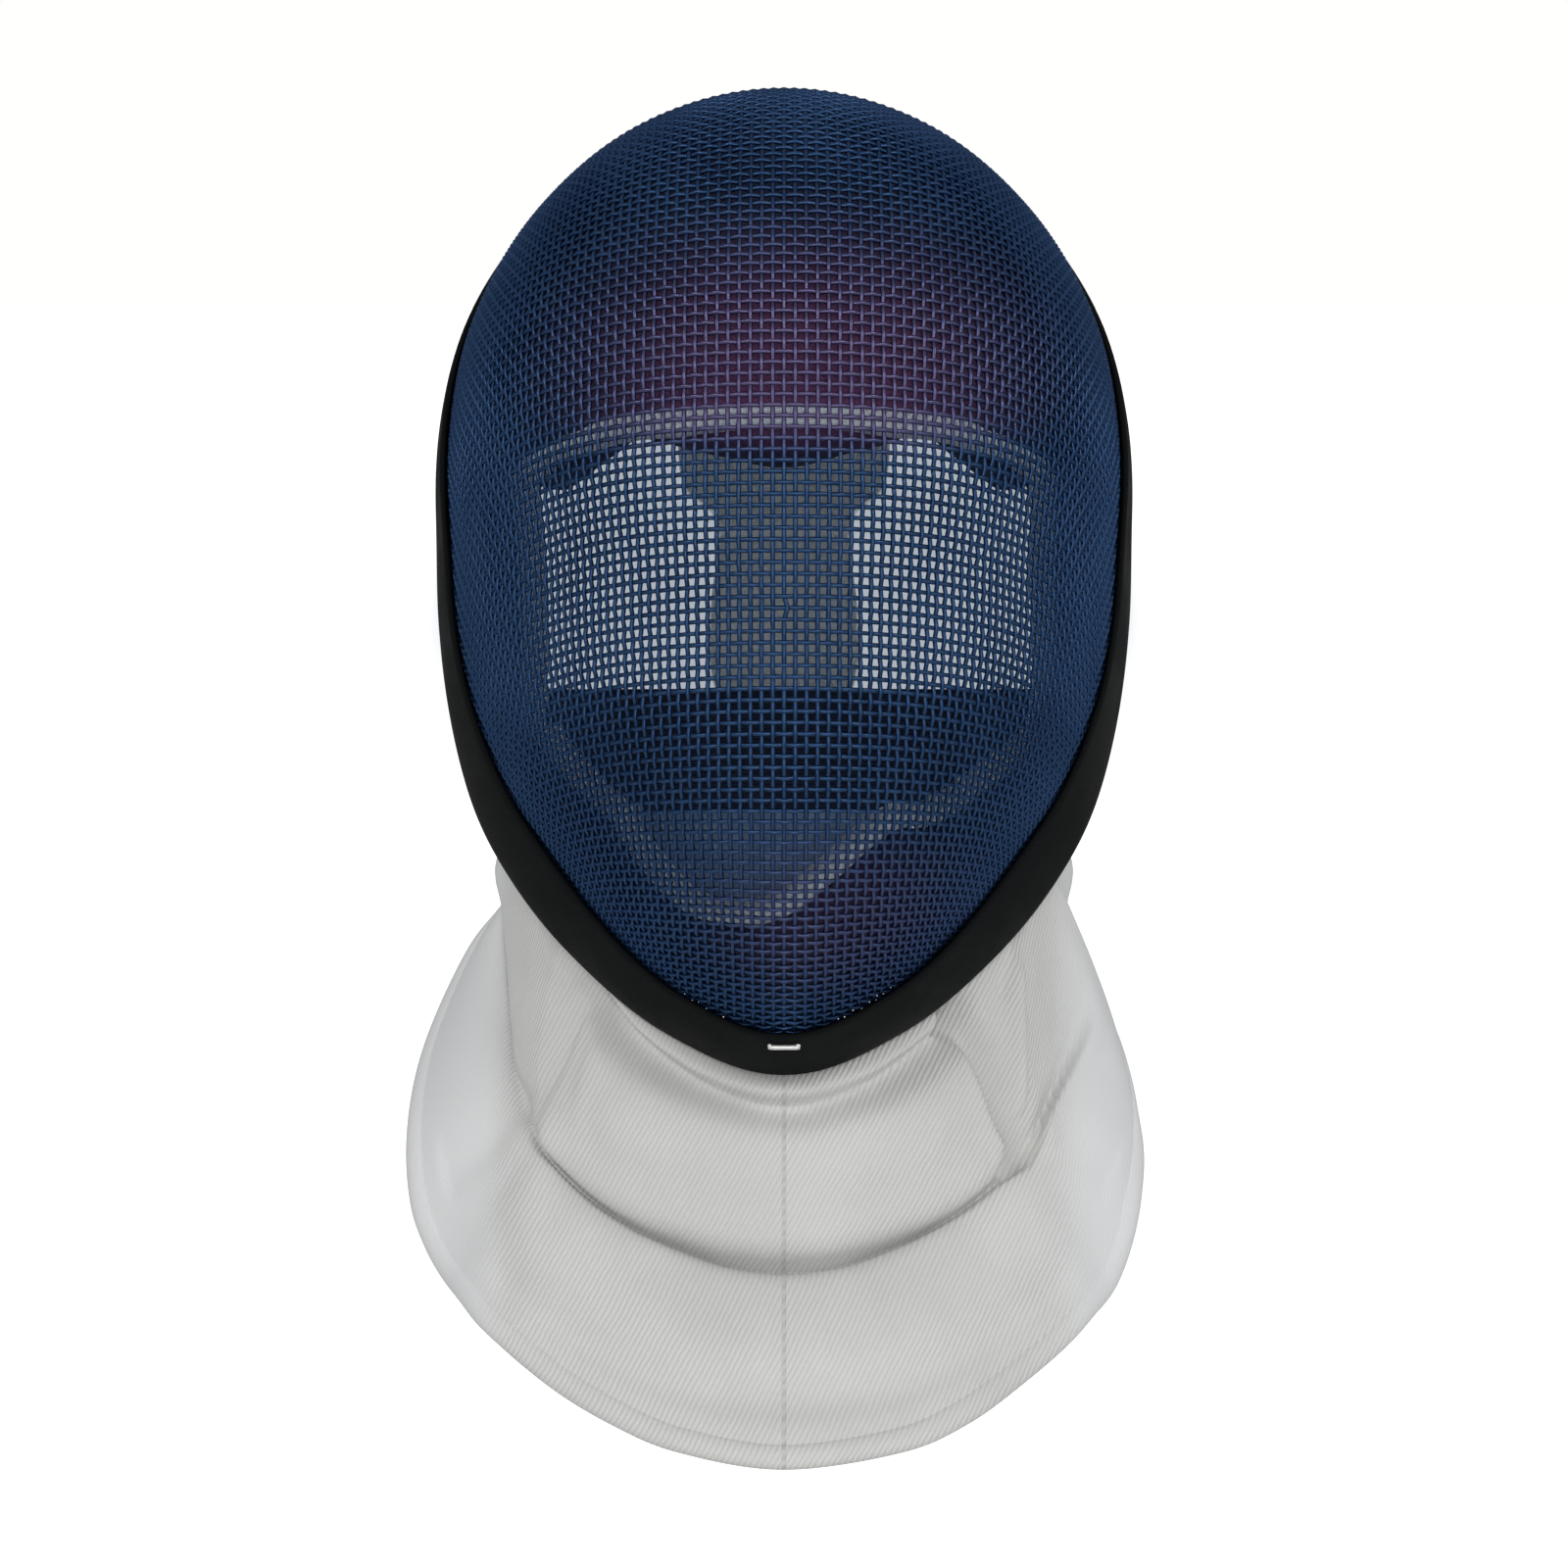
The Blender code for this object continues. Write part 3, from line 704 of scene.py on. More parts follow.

# %% [markdown]
# The wire is steel under a thin clear navy enamel, so it shines in its own colour like
# tinted metal. The lining behind the brow and the chin is purple, and the wire in front of it
# is painted a little purple, as a painted reflection of that lining. One function says where,
# for the wire and for the lining.

# %% Navy enamel
BROW_SPOT, BROW_RADII = (0.006, -0.09, -0.066), (0.07, 0.3, 0.044)
CHIN_SPOT, CHIN_RADII = (0.016, -0.13, -0.215), (0.042, 0.3, 0.027)
BROW_ENDS = (-0.09, -0.076)            # heights between which the purple of the brow sets in
BROW_FADES, CHIN_FADES = (1.3, 0.25), (1.3, 0.2)           # from none to full, in radii
CHIN_PURPLE, PAINTED_REFLECTION_SHARE, WORN_SPECKS = 0.4, 0.75, 0.2
NAVY, PALE_NAVY = (0.014, 0.044, 0.115, 1), (0.022, 0.062, 0.155, 1)
# the first colour is a painted purple reflection of the lining on the wire, the second is for worn
# specks
PAINTED_PURPLE_REFLECTION, WORN_BLUE = (0.13, 0.085, 0.18, 1), (0.08, 0.12, 0.2, 1)


def purple_share(tree):
    """How purple the mask is at a place: most over the brow, and a little under the chin."""
    brow = from_range(tree, spot_distance(tree, BROW_SPOT, BROW_RADII), *BROW_FADES)
    above = from_range(tree, split_place(tree, object_place(tree))["Z"], *BROW_ENDS)
    chin = from_range(tree, spot_distance(tree, CHIN_SPOT, CHIN_RADII), *CHIN_FADES)
    faint = calculate(tree, "MULTIPLY", chin, CHIN_PURPLE)
    return calculate(tree, "MAXIMUM", calculate(tree, "MULTIPLY", brow, above), faint)


enamel, tree, shader = new_material("navy enamel", {
    "Metallic": 0.85, "Coat Weight": 0.1, "Coat Roughness": 0.2,
    "Specular Tint": (0.3, 0.45, 0.8, 1)})
parts = add_grain(tree, cloud_size=35.0, speck_size=0.9)
tint = blend_colours(tree, parts["Cloud"], NAVY, PALE_NAVY)
# painted reflection: the enamel's navy is mixed towards purple where the lining behind the wire is
# purple
purple = calculate(tree, "MULTIPLY", purple_share(tree), PAINTED_REFLECTION_SHARE)
painted_reflection = blend_colours(tree, purple, tint, PAINTED_PURPLE_REFLECTION)
specks = calculate(tree, "MULTIPLY", parts["Speck"], WORN_SPECKS)
feed(tree, shader.inputs["Base Color"], blend_colours(tree, specks, painted_reflection, WORN_BLUE))
feed(tree, shader.inputs["Roughness"], from_range(tree, parts["Cloud"], 0, 1, 0.3, 0.44))
print("enamel nodes:", len(tree.nodes))

# %% [markdown]
# Each set of wires is split in two, and each half is run as round cords and filed as one
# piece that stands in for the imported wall.

# %% Run the wires
half_rows, half_columns = len(row_paths) // 2, len(column_paths) // 2
wire_pieces = (
    ("wires_across_chin", row_paths[:half_rows]),
    ("wires_across_crown", row_paths[half_rows:]),
    ("wires_upright_left", column_paths[:half_columns]),
    ("wires_upright_right", column_paths[half_columns:]),
)
for name, paths in wire_pieces:
    file_piece(run_cords(paths, WIRE, 6), name, enamel, "navy_wire", "mesh_shell")

# %% [markdown]
# ## The rubber trim
#
# A moulded channel is pushed over the rim and holds the cut ends of the wires. At the jaw it
# stands out over the seam of the bib. It is one ring: a torus whose rings are drawn to the
# channel's section, then smoothed so that its corners are round, as moulded rubber is.

# %% The rubber trim
TRIM_OUTSIDE, TRIM_INSIDE = 24.0 * MM, 13.0 * MM
TRIM_RUBBER, TRIM_LIP, TRIM_GAP = 2.6 * MM, 1.6 * MM, 0.25 * MM
TRIM_FLARE, FLARE_AT, FLARE_WIDE = 6.8 * MM, 45.0, 27.0
CAD_TRIM_GAP = 0.5 * MM


def trim_proud(turn, distance):
    """How far the trim's outer face stands above the wire, in front of the rim."""
    below_ear = -np.degrees(np.arcsin(np.clip(np.sin(turn), -1, 1)))
    flare = TRIM_FLARE * bump_at(below_ear, FLARE_AT, FLARE_WIDE)
    share = 1 - distance / TRIM_OUTSIDE
    thick = TRIM_LIP + (TRIM_RUBBER - TRIM_LIP) * np.minimum(1, 2 * share)
    return CAD_TRIM_GAP + thick + flare * share


def trim_place(turn, index):
    """A point of the channel's section: where it runs near the rim, and how deep it lies."""
    outer, inner = -TRIM_GAP, WALL + TRIM_GAP
    back, front = trim_proud(turn, 0.0), trim_proud(turn, TRIM_OUTSIDE)
    half = trim_proud(turn, TRIM_OUTSIDE / 2)
    near_front = trim_proud(turn, 0.93 * TRIM_OUTSIDE)
    # distance in front of the rim, and depth under the outside of the wire, once round
    section = (
        (TRIM_OUTSIDE, outer),
        (TRIM_OUTSIDE, -front + 0.3 * MM),
        (0.985 * TRIM_OUTSIDE, -front),
        (0.93 * TRIM_OUTSIDE, -near_front),
        (0.5 * TRIM_OUTSIDE, -half),
        (1.0 * MM, -back),
        (-0.8 * TRIM_RUBBER, -back + 0.5 * MM),
        (-TRIM_RUBBER, -back + 0.6 * TRIM_RUBBER),
        (-TRIM_RUBBER, inner + 0.5 * TRIM_RUBBER),
        (-0.6 * TRIM_RUBBER, inner + 0.95 * TRIM_RUBBER),
        (0.5 * MM, inner + TRIM_RUBBER),
        (0.9 * TRIM_INSIDE, inner + TRIM_LIP),
        (TRIM_INSIDE, inner + 0.7 * TRIM_LIP),
        (TRIM_INSIDE, inner),
        (0.0, inner),
        (-0.5 * MM, inner),
        (-0.5 * MM, outer),
        (0.0, outer),
        (0.5 * TRIM_OUTSIDE, outer),
        (0.95 * TRIM_OUTSIDE, outer),
    )
    distance = np.array([spot[0] for spot in section])[index]
    under = np.stack([np.broadcast_to(spot[1], turn.shape) for spot in section])
    return near_rim(turn, distance, under[index, np.arange(len(index))])


print("the trim stands proud at the jaw, mm:",
      round(float(trim_proud(math.radians(-FLARE_AT), 0.0)) / MM, 1))

# %% [markdown]
# The rubber is almost black and dull. It is a little unevenly grey, as handled rubber is, and
# its skin is finely grained.

# %% Black rubber
BLACK, WORN_BLACK = (0.0035, 0.0042, 0.0048, 1), (0.0055, 0.0064, 0.007, 1)

rubber, tree, shader = new_material("black rubber", {"Specular IOR Level": 0.06})
parts = add_grain(tree, cloud_size=28.0, speck_size=0.45)
feed(tree, shader.inputs["Base Color"], blend_colours(tree, parts["Cloud"], BLACK, WORN_BLACK))
feed(tree, shader.inputs["Roughness"], from_range(tree, parts["Cloud"], 0, 1, 0.52, 0.68))
add_bump(tree, shader, parts["Speck"], 0.06 * MM)

trim = lay_ring(144, 20, trim_place)       # 20 is the number of spots in the section
apply_modifier(trim, "SUBSURF", levels=1, render_levels=1)
file_piece(trim, "rubber_trim", rubber, "black_rubber", "edge_trim")

# %% [markdown]
# ## The staple
#
# One steel staple closes the trim under the chin. Its back lies on the rubber and its two legs
# go in, so it is a bent wire and not a bar: a short path with two corners, run as a cord.

# %% The staple
STAPLE_LENGTH, STAPLE_WIRE, STAPLE_BACK = 9.5 * MM, 1.5 * MM, 20.5 * MM
LEG_DEEP, LEG_PART, SHOULDER = 2.2 * MM, 0.3, 0.6 * MM


def staple_path():
    """The staple's line: in from one leg, across its back and down the other leg."""
    chin = -math.pi / 2
    proud = float(trim_proud(np.array(chin), STAPLE_BACK)) + 0.5 * STAPLE_WIRE
    top = near_rim(chin, STAPLE_BACK, -proud)
    leg = near_rim(chin, STAPLE_BACK, -proud + LEG_DEEP) - top
    reach = STAPLE_LENGTH / 2 - STAPLE_WIRE / 2
    half = [top + (reach, 0, 0) + leg * LEG_PART, top + (reach, 0, 0),
            top + (reach - SHOULDER, 0, 0), top + (reach / 2, 0, 0)]
    mirrored = [spot * (-1, 1, 1) for spot in half]
    return worn(np.array(half + mirrored[::-1]))


steel, tree, shader = new_material("bright steel", {"Metallic": 1.0})
parts = add_grain(tree, cloud_size=2.0, speck_size=0.2)
bright = blend_colours(tree, parts["Speck"], (0.78, 0.78, 0.77, 1), (0.86, 0.86, 0.85, 1))
feed(tree, shader.inputs["Base Color"], bright)
feed(tree, shader.inputs["Roughness"], from_range(tree, parts["Cloud"], 0, 1, 0.45, 0.6))
staple = run_cords([staple_path()], STAPLE_WIRE, 10)
file_piece(staple, "steel_staple", steel, "bright_steel", "staple")

# %% [markdown]
# ## The padded liner
#
# Four pads lie under the wire: over the brow and crown, at both cheeks and round the chin.
# Each is foam in soft cloth, sewn along its edges. The face towards the wire and the face
# towards the head are two layers of one closed sheet, laid from the pad's edge in the face's
# window back to the trim. A pad's edge is a table of directions in the front view, in degrees,
# and of the distances at which the edge shows there, in millimetres.

# %% Where the pads lie
PAD, BINDING = 11.0 * MM, 7.6 * MM     # thickness of a pad and of its bound edge
CLEAR = 0.3 * MM
PAD_UNDER = WALL + CLEAR + 0.4 * MM
BINDING_UNDER = PAD_UNDER + BINDING / 2 + 1.0 * MM
CROWN_EDGE = ((27, 84), (38, 73), (60, 58), (90, 52), (120, 58), (142, 73), (153, 84))
RIGHT_EDGE = ((-23, 81), (-8, 76), (8, 75), (24, 82))
LEFT_EDGE = ((156, 82), (172, 72), (188, 72), (204, 79))
CHIN_EDGE = (
    (207, 75), (227, 72), (239, 78), (250, 84), (260, 84), (270, 80),
    (281, 72), (291, 66), (301, 64), (309, 69), (322, 72), (334, 79),
)
EDGE_NEAREST, EDGE_FARTHEST = 0.1, 1.4 # sweeps between which every edge lies


def edge_sweep(edge, degrees, under):
    """Sweep at which a pad's edge shows at its table's distance in the front view."""
    keys, radii = np.array(edge, float).T
    wanted = read_rows(radii * MM, np.interp(degrees, keys, np.arange(len(keys))))
    direction = np.radians(degrees)

    def nearer(sweep):
        points = under_dome(direction, sweep, np.full(sweep.shape, under))
        return np.hypot(points[:, 0], points[:, 2]) < wanted
    return halve(
        np.full(len(degrees), EDGE_NEAREST), np.full(len(degrees), EDGE_FARTHEST), nearer)


print("binding lies under the wire by, mm:", round(BINDING_UNDER / MM, 1))

# %% [markdown]
# ## Blowing the pads up
#
# Foam pushes its cover outwards until the cloth is taut, which no simple formula gives quite
# right. So the cover is run as real cloth with air pressure inside for a few steps, starting
# from a slightly thin pad. What each point may move is then held within a few millimetres, so
# that the cloth neither reaches the wire nor drifts, and the sewn channels are pressed in.

# %% Blow a pad up and hold it
STEPS, PRESSURE = 14, 4.0
MOST_ASIDE, MOST_OUTWARD = 1.5 * MM, 2 * MM
MOST_INWARD, MOST_INWARD_FRONT = 4 * MM, 0.5 * MM


def blow_up(piece):
    """Run the piece as cloth with pressure inside, and return how far each point went."""
    start = get_points(piece)
    copy = piece.copy()
    copy.data = piece.data.copy()
    bpy.context.scene.collection.objects.link(copy)
    cloth = copy.modifiers.new("cover", "CLOTH")
    cloth.settings.use_pressure = True
    cloth.settings.uniform_pressure_force = PRESSURE
    cloth.settings.effector_weights.gravity = 0
    cloth.point_cache.frame_end = STEPS
    for step in range(1, STEPS + 1):
        bpy.context.scene.frame_set(step)
    active_only(copy)
    bpy.ops.object.modifier_apply(modifier=cloth.name)
    moved = get_points(copy) - start
    bpy.data.objects.remove(copy)
    bpy.context.scene.frame_set(1)
    return moved


def swell_cover(piece, inward, back, room):
    """Move a pad's points as the cloth went, but no farther than the room that they have."""
    moved = blow_up(piece)
    sunk = np.sum(moved * inward, axis=1)
    aside = moved - inward * sunk[:, None]
    far = np.linalg.norm(aside, axis=1)[:, None]
    aside = aside * np.minimum(1, MOST_ASIDE / np.maximum(far, 1e-6))
    deepest = np.where(back, MOST_INWARD, MOST_INWARD_FRONT)
    sunk = np.clip(sunk, -np.minimum(MOST_OUTWARD, room), deepest)
    set_points(piece, get_points(piece) + aside + inward * sunk[:, None])


print("steps of the cloth:", STEPS)

# %% [markdown]
# The inner layer of a pad isn't laid straight under the outer one. Under the brow it hangs
# down below the bound edge, most in the middle and at both corners, which shows as a dark
# strip over the window. On the other pads it is pulled back from the window a little, most
# at the cheeks. The pads are thin along their edges and round up to their full thickness
# farther in.

# %% Helpers for the shape of a pad
LENS_AT, LENS_WIDE, LENS_ROUND = 0.51, 0.33, 0.7
HUNG_ALL, HUNG_LENS, HUNG_CORNER, CORNER_WIDE = 0.4, 0.5, 0.9, 0.1
SIDE_PULL = 0.09
SIDE_STEEP, EDGE_STEEP = 3, 8


def layer_shift(across, turned, droop):
    """Sweep by which a pad's inner layer hangs below its edge, or is pulled back from it."""
    if droop == 0:
        return SIDE_PULL * np.cos(turned) ** 2
    lens = np.clip(1 - ((across - LENS_AT) / LENS_WIDE) ** 2, 0, 1) ** LENS_ROUND
    corner = bump_at(np.minimum(across, 1 - across), 0, CORNER_WIDE)
    return -droop * (HUNG_ALL + HUNG_LENS * lens + HUNG_CORNER * corner)


def fullness(across, down, channels):
    """How full a pad is: 0 along its edges, and rounding up to 1."""
    from_sides = np.minimum(across, 1 - across) * channels * SIDE_STEEP
    from_edges = np.minimum(down, 1 - down) * EDGE_STEEP
    return np.sqrt(1 - (1 - np.clip(np.minimum(from_sides, from_edges), 0, 1)) ** 2)


print("most that the brow's lining hangs, in parts of its droop:", HUNG_ALL + HUNG_CORNER)

# %% [markdown]
# A pad starts just behind its bound edge and ends at the trim. Its outer layer stays clear of
# the wire, and of the inner lip of the trim where it runs under it.

# %% Make a pad and its bound edge
PAD_REACH = 2.4                        # degrees that each pad reaches towards the next one
BEHIND_TAPE = 0.03                     # sweep between the bound edge and the pad
PAD_THIN, PAD_SWELL, PAD_MIDDLE = 0.2, 0.6, 0.46           # in parts of the pad's thickness
CHANNEL_WIDE, CHANNEL_DEEP = 0.2, 0.32
LIP_CLEAR, WIRE_CLEAR, PAST_LIP = 0.6 * MM, 0.5 * MM, 1.5 * MM
FIRST_THICK = 1 * MM                   # only a start: both layers are placed anew below


def make_pad(name, edge, columns, rows, channels, end, droop):
    """A swollen pad between its edge in the face's window and the trim."""
    first, last = edge[0][0] - PAD_REACH, edge[-1][0] + PAD_REACH
    line = np.linspace(first, last, columns * 2)
    starts = edge_sweep(edge, line, BINDING_UNDER) + BEHIND_TAPE
    ends = sweep_from_rim(np.radians(line), end)

    def spread(across, down):
        degrees = first + (last - first) * across
        start, end = np.interp(degrees, line, starts), np.interp(degrees, line, ends)
        return np.radians(degrees), start + (end - start) * down

    piece, across, down = lay_grid(columns, rows, lambda across, down: under_dome(
        *spread(across, down), np.full(len(across), PAD_UNDER)))
    face_way(piece, (0, -1, 0.3))
    apply_modifier(piece, "SOLIDIFY", thickness=FIRST_THICK, offset=-1)
    across, down = np.tile(across, 2), np.tile(down, 2)
    back = np.arange(len(across)) >= len(across) // 2
    turned, sweep = spread(across, down)
    sweep = sweep + back * layer_shift(across, turned, droop) * (1 - down)
    full = fullness(across, down, channels)
    half = PAD * (PAD_THIN + PAD_SWELL * full) / 2
    middle = PAD_UNDER + PAD * PAD_MIDDLE
    under_lip = (rim_sweep(turned) - sweep) * pace(turned, sweep) < TRIM_INSIDE + PAST_LIP
    below_lip = WALL + CAD_TRIM_GAP + TRIM_RUBBER + LIP_CLEAR
    ceiling = np.where(under_lip, below_lip, WALL + WIRE_CLEAR)
    under = np.where(back, middle + half, np.maximum(middle - half, ceiling))
    set_points(piece, worn(under_dome(turned, sweep, under)))
    deeper = worn(under_dome(turned, sweep, under + MM))
    inward = unit(deeper - worn(under_dome(turned, sweep, under)))
    swell_cover(piece, inward, back, np.maximum(0, under - ceiling))
    seams = bump_at(np.abs(np.sin(math.pi * across * channels)), 0, CHANNEL_WIDE)
    sewn = seams * full * back * CHANNEL_DEEP * PAD
    set_points(piece, get_points(piece) - inward * sewn[:, None])
    outward_faces(piece)
    apply_modifier(piece, "SUBSURF", levels=1, render_levels=1)
    return file_piece(piece, name + "_liner", lining, "navy_lining", name)


def make_binding(name, edge, points):
    """The bound edge of a pad: a soft round roll of tape along it."""
    degrees = np.linspace(edge[0][0] - PAD_REACH, edge[-1][0] + PAD_REACH, points)
    path = worn(under_dome(
        np.radians(degrees), edge_sweep(edge, degrees, BINDING_UNDER),
        np.full(points, BINDING_UNDER)))
    piece = run_cords([path], BINDING, 14)
    file_piece(piece, name + "_tape", tape, "pale_blue_binding", name)
    return piece


print("thickness of a pad, mm:", round(PAD / MM, 1))

# %% [markdown]
# The lining is navy, and purple over the brow and under the chin, with a little sheen and a
# fine nap. The tape round its edge is pale blue.

# %% Liner cloth and tape, and all the pads
LINING_NAVY, LINING_PURPLE = (0.008, 0.02, 0.07, 1), (0.15, 0.045, 0.14, 1)
NAP, NAP_SHARE = (0.08, 0.06, 0.16, 1), 0.15

lining, tree, shader = new_material("liner cloth", {"Roughness": 0.92, "Sheen Weight": 0.08})
parts = add_grain(tree, cloud_size=22.0, speck_size=0.35)
navy_and_purple = blend_colours(tree, purple_share(tree), LINING_NAVY, LINING_PURPLE)
specks = calculate(tree, "MULTIPLY", parts["Speck"], NAP_SHARE)
feed(tree, shader.inputs["Base Color"], blend_colours(tree, specks, navy_and_purple, NAP))
add_bump(tree, shader, parts["Speck"], 0.2 * MM)

tape = cloudy_cloth(
    "pale blue tape", {"Roughness": 0.85},
    darker=(0.72, 0.8, 0.92, 1), paler=(0.82, 0.88, 0.97, 1), cloud_size=12.0, nap=0.15 * MM)

# pad, its edge, columns, rows, sewn channels, end in front of the rim, droop of the inner layer
pads = (
    ("crown_pad", CROWN_EDGE, 60, 26, 6, 8.0 * MM, 0.17),
    ("right_pad", RIGHT_EDGE, 18, 12, 2, 15.5 * MM, 0.0),
    ("left_pad", LEFT_EDGE, 18, 12, 2, 15.5 * MM, 0.0),
    ("chin_pad", CHIN_EDGE, 72, 14, 6, 4.0 * MM, 0.0),
)
for name, edge, columns, rows, channels, end, droop in pads:
    make_pad(name, edge, columns, rows, channels, end, droop)
    make_binding(name.replace("pad", "binding"), edge, columns * 2)

# %% [markdown]
# ## The chin cup
#
# The lining doesn't stop at the bound edge under the chin. It goes on behind it as a soft cup
# that rises towards the neck, and a blue patch of it shows between the strap and the binding.
# It is a sheet from the binding back to a level line, sagging in between, with some thickness.

# %% The chin cup
CUP_FROM, CUP_TO = 226.0, 316.0
CUP_BACK, CUP_TOP, CUP_THICK = 34.0 * MM, -55.0 * MM, 2.4 * MM
CUP_UNDER, CUP_NARROWS = BINDING_UNDER + 1.5 * MM, 0.92
CUP_SAG, CUP_DIMPLE = 4 * MM, 3 * MM


def cup_place(across, down):
    """A point of the cup: at the chin's bound edge first, at its rear edge last."""
    degrees = CUP_FROM + (CUP_TO - CUP_FROM) * across
    front = under_dome(
        np.radians(degrees), edge_sweep(CHIN_EDGE, degrees, BINDING_UNDER),
        np.full(len(degrees), CUP_UNDER))
    rear = front + (0, CUP_BACK, 0)
    rear[:, 0] *= CUP_NARROWS
    rear[:, 2] = np.maximum(CUP_TOP, front[:, 2] + 1 * MM)
    points = front + (rear - front) * down[:, None]
    sag = np.sin(math.pi * np.clip(down, 0, 1)) * np.sin(math.pi * across)
    dimple = bump_at(across, 0.42, 0.1) * bump_at(down, 0.45, 0.25)
    points[:, 2] -= sag * CUP_SAG + dimple * CUP_DIMPLE
    return points


cup_cloth = cloudy_cloth(
    "blue lining", {"Roughness": 0.9, "Sheen Weight": 0.3},
    darker=(0.1, 0.18, 0.36, 1), paler=(0.2, 0.3, 0.5, 1), cloud_size=9.0, nap=0.2 * MM)

cup, across, down = lay_grid(48, 20, cup_place)
face_way(cup, (0, -0.5, 1))
apply_modifier(cup, "SOLIDIFY", thickness=CUP_THICK, offset=-1)
apply_modifier(cup, "BEVEL", width=0.9 * MM, segments=3, limit_method="ANGLE")
file_piece(cup, "chin_cup", cup_cloth, "navy_lining", "chin_pad")

# %% [markdown]
# ## The tongue
#
# Behind the head hangs a flat spring under grey cloth. It keeps the mask on, and shows as a
# grey shape in the window of the face. It is a narrow sheet with a thickness, whose edges are
# rounded by a bevel, as the folded cloth rounds them.

# %% The tongue
# height, depth and half the width, down the middle of the tongue
TONGUE_PATH = np.array((
    (141.0, 181.5, 35.0), (118.0, 194.0, 34.0), (84.0, 203.0, 34.0), (50.0, 203.0, 33.0),
    (36.0, 201.0, 21.5), (10.0, 194.5, 23.5), (-14.0, 189.4, 23.0), (-27.0, 188.8, 15.0),
)) * MM
TONGUE_THICK = 3.6 * MM
TONGUE_CROWN = 1.2 * MM                # the outer face is this much higher in its middle
FOLD_STEP = 2.6 * MM                   # the wide upper part is folded over the lower one
FOLD_ENDS = (33 * MM, 36 * MM)


def tongue_place(across, down):
    """A point of the tongue's outer face."""
    height, depth, half = read_rows(TONGUE_PATH, down * (len(TONGUE_PATH) - 1)).T
    aside = 2 * across - 1
    crown = TONGUE_CROWN * (1 - aside ** 2)
    fold = FOLD_STEP * rise(height, *FOLD_ENDS)
    return np.column_stack((aside * half, depth - TONGUE_CROWN + crown - fold, height))


grey_cloth = cloudy_cloth(
    "grey cloth", {"Roughness": 0.9},
    darker=(0.74, 0.84, 0.93, 1), paler=(0.82, 0.9, 0.97, 1), cloud_size=18.0, nap=0.2 * MM)

tongue, across, down = lay_grid(12, 84, tongue_place)
face_way(tongue, (0, 1, 0))
apply_modifier(tongue, "SOLIDIFY", thickness=TONGUE_THICK, offset=-1)
apply_modifier(tongue, "BEVEL", width=1.2 * MM, segments=3, limit_method="ANGLE")
file_piece(tongue, "cloth_tongue", grey_cloth, "grey_cloth", "tongue")

# %% [markdown]
# ## The back strap
#
# A wide elastic band runs behind the head from one side of the trim to the other. Each of its
# edges is a smooth curve that leaves the trim straight and lies flat behind the head. Webbing
# has ribs along its length, so its cloth map runs across the band first.

# %% The back strap
STRAP_BACK, STRAP_TOP, STRAP_TALL, STRAP_LONG = 184.0 * MM, -17.0 * MM, 43.0 * MM, 230 * MM
STRAP_THICK, STRAP_LAP = 2.2 * MM, 10.0 * MM
STRAP_FROM = (-11.0, -31.0)            # where its two edges leave the trim, in degrees
STRAP_LEAVE, STRAP_FLAT = 45.0 * MM, 48.0 * MM


def strap_edge(degrees, height, share):
    """Points of one edge of the strap, from its left end (0) to its right end (1)."""
    under = WALL + CAD_TRIM_GAP + CLEAR + TRIM_RUBBER
    start = near_rim(math.radians(degrees), STRAP_LAP, under)
    onward = unit(near_rim(math.radians(degrees), 0.0, under) - start)
    middle = np.array((0, STRAP_BACK, height))
    part = (1 - np.abs(2 * share - 1))[:, None]
    points = bezier(
        start, start + onward * STRAP_LEAVE, middle + (STRAP_FLAT, 0, 0), middle, part)
    points[:, 0] *= np.sign(share - 0.5)
    return points


def strap_place(across, down):
    """A point of the strap's outer face."""
    top = strap_edge(STRAP_FROM[0], STRAP_TOP, across)
    bottom = strap_edge(STRAP_FROM[1], STRAP_TOP - STRAP_TALL, across)
    return top + (bottom - top) * down[:, None]


def set_cloth_map(piece, first, second):
    """Store a cloth map: two numbers in metres for each vertex."""
    layer = piece.data.uv_layers.new(name="cloth")
    corners = np.empty(len(piece.data.loops), np.int32)
    piece.data.loops.foreach_get("vertex_index", corners)
    spots = np.column_stack((first, second))[corners]
    layer.data.foreach_set("uv", spots.astype(np.float32).ravel())


elastic, tree, shader = new_material("navy elastic", {"Roughness": 0.85})
cloth = place_group(tree, ribs, place=cloth_place(tree), rib=1.1, thread=0.9)
# painted shade: the band is darker in the grooves between its ribs
shaded_band = blend_colours(tree, cloth["Groove"], (0.006, 0.017, 0.055, 1), (0.003, 0.007, 0.025, 1))
feed(tree, shader.inputs["Base Color"], shaded_band)
add_bump(tree, shader, cloth["Height"], 0.25 * MM)

strap, across, down = lay_grid(96, 12, strap_place)
set_cloth_map(strap, down * STRAP_TALL, across * STRAP_LONG)
face_way(strap, (0, 1, 0))
apply_modifier(strap, "SOLIDIFY", thickness=STRAP_THICK, offset=-1)
apply_modifier(strap, "BEVEL", width=0.5 * MM, segments=2, limit_method="ANGLE")
file_piece(strap, "elastic_strap", elastic, "navy_elastic", "back_strap")

# %% [markdown]
# ## The bib
#
# The bib is several layers of stiff cotton twill. Sewn behind the trim, it comes down as a
# full neck roll, turns sharply at a crease, and spreads into an apron with a bound hem. One
# grid makes it all. A table of sections, from the front round to the ear, says where the
# crease and the hem lie, and small terms add the dent under the trim and the folds.

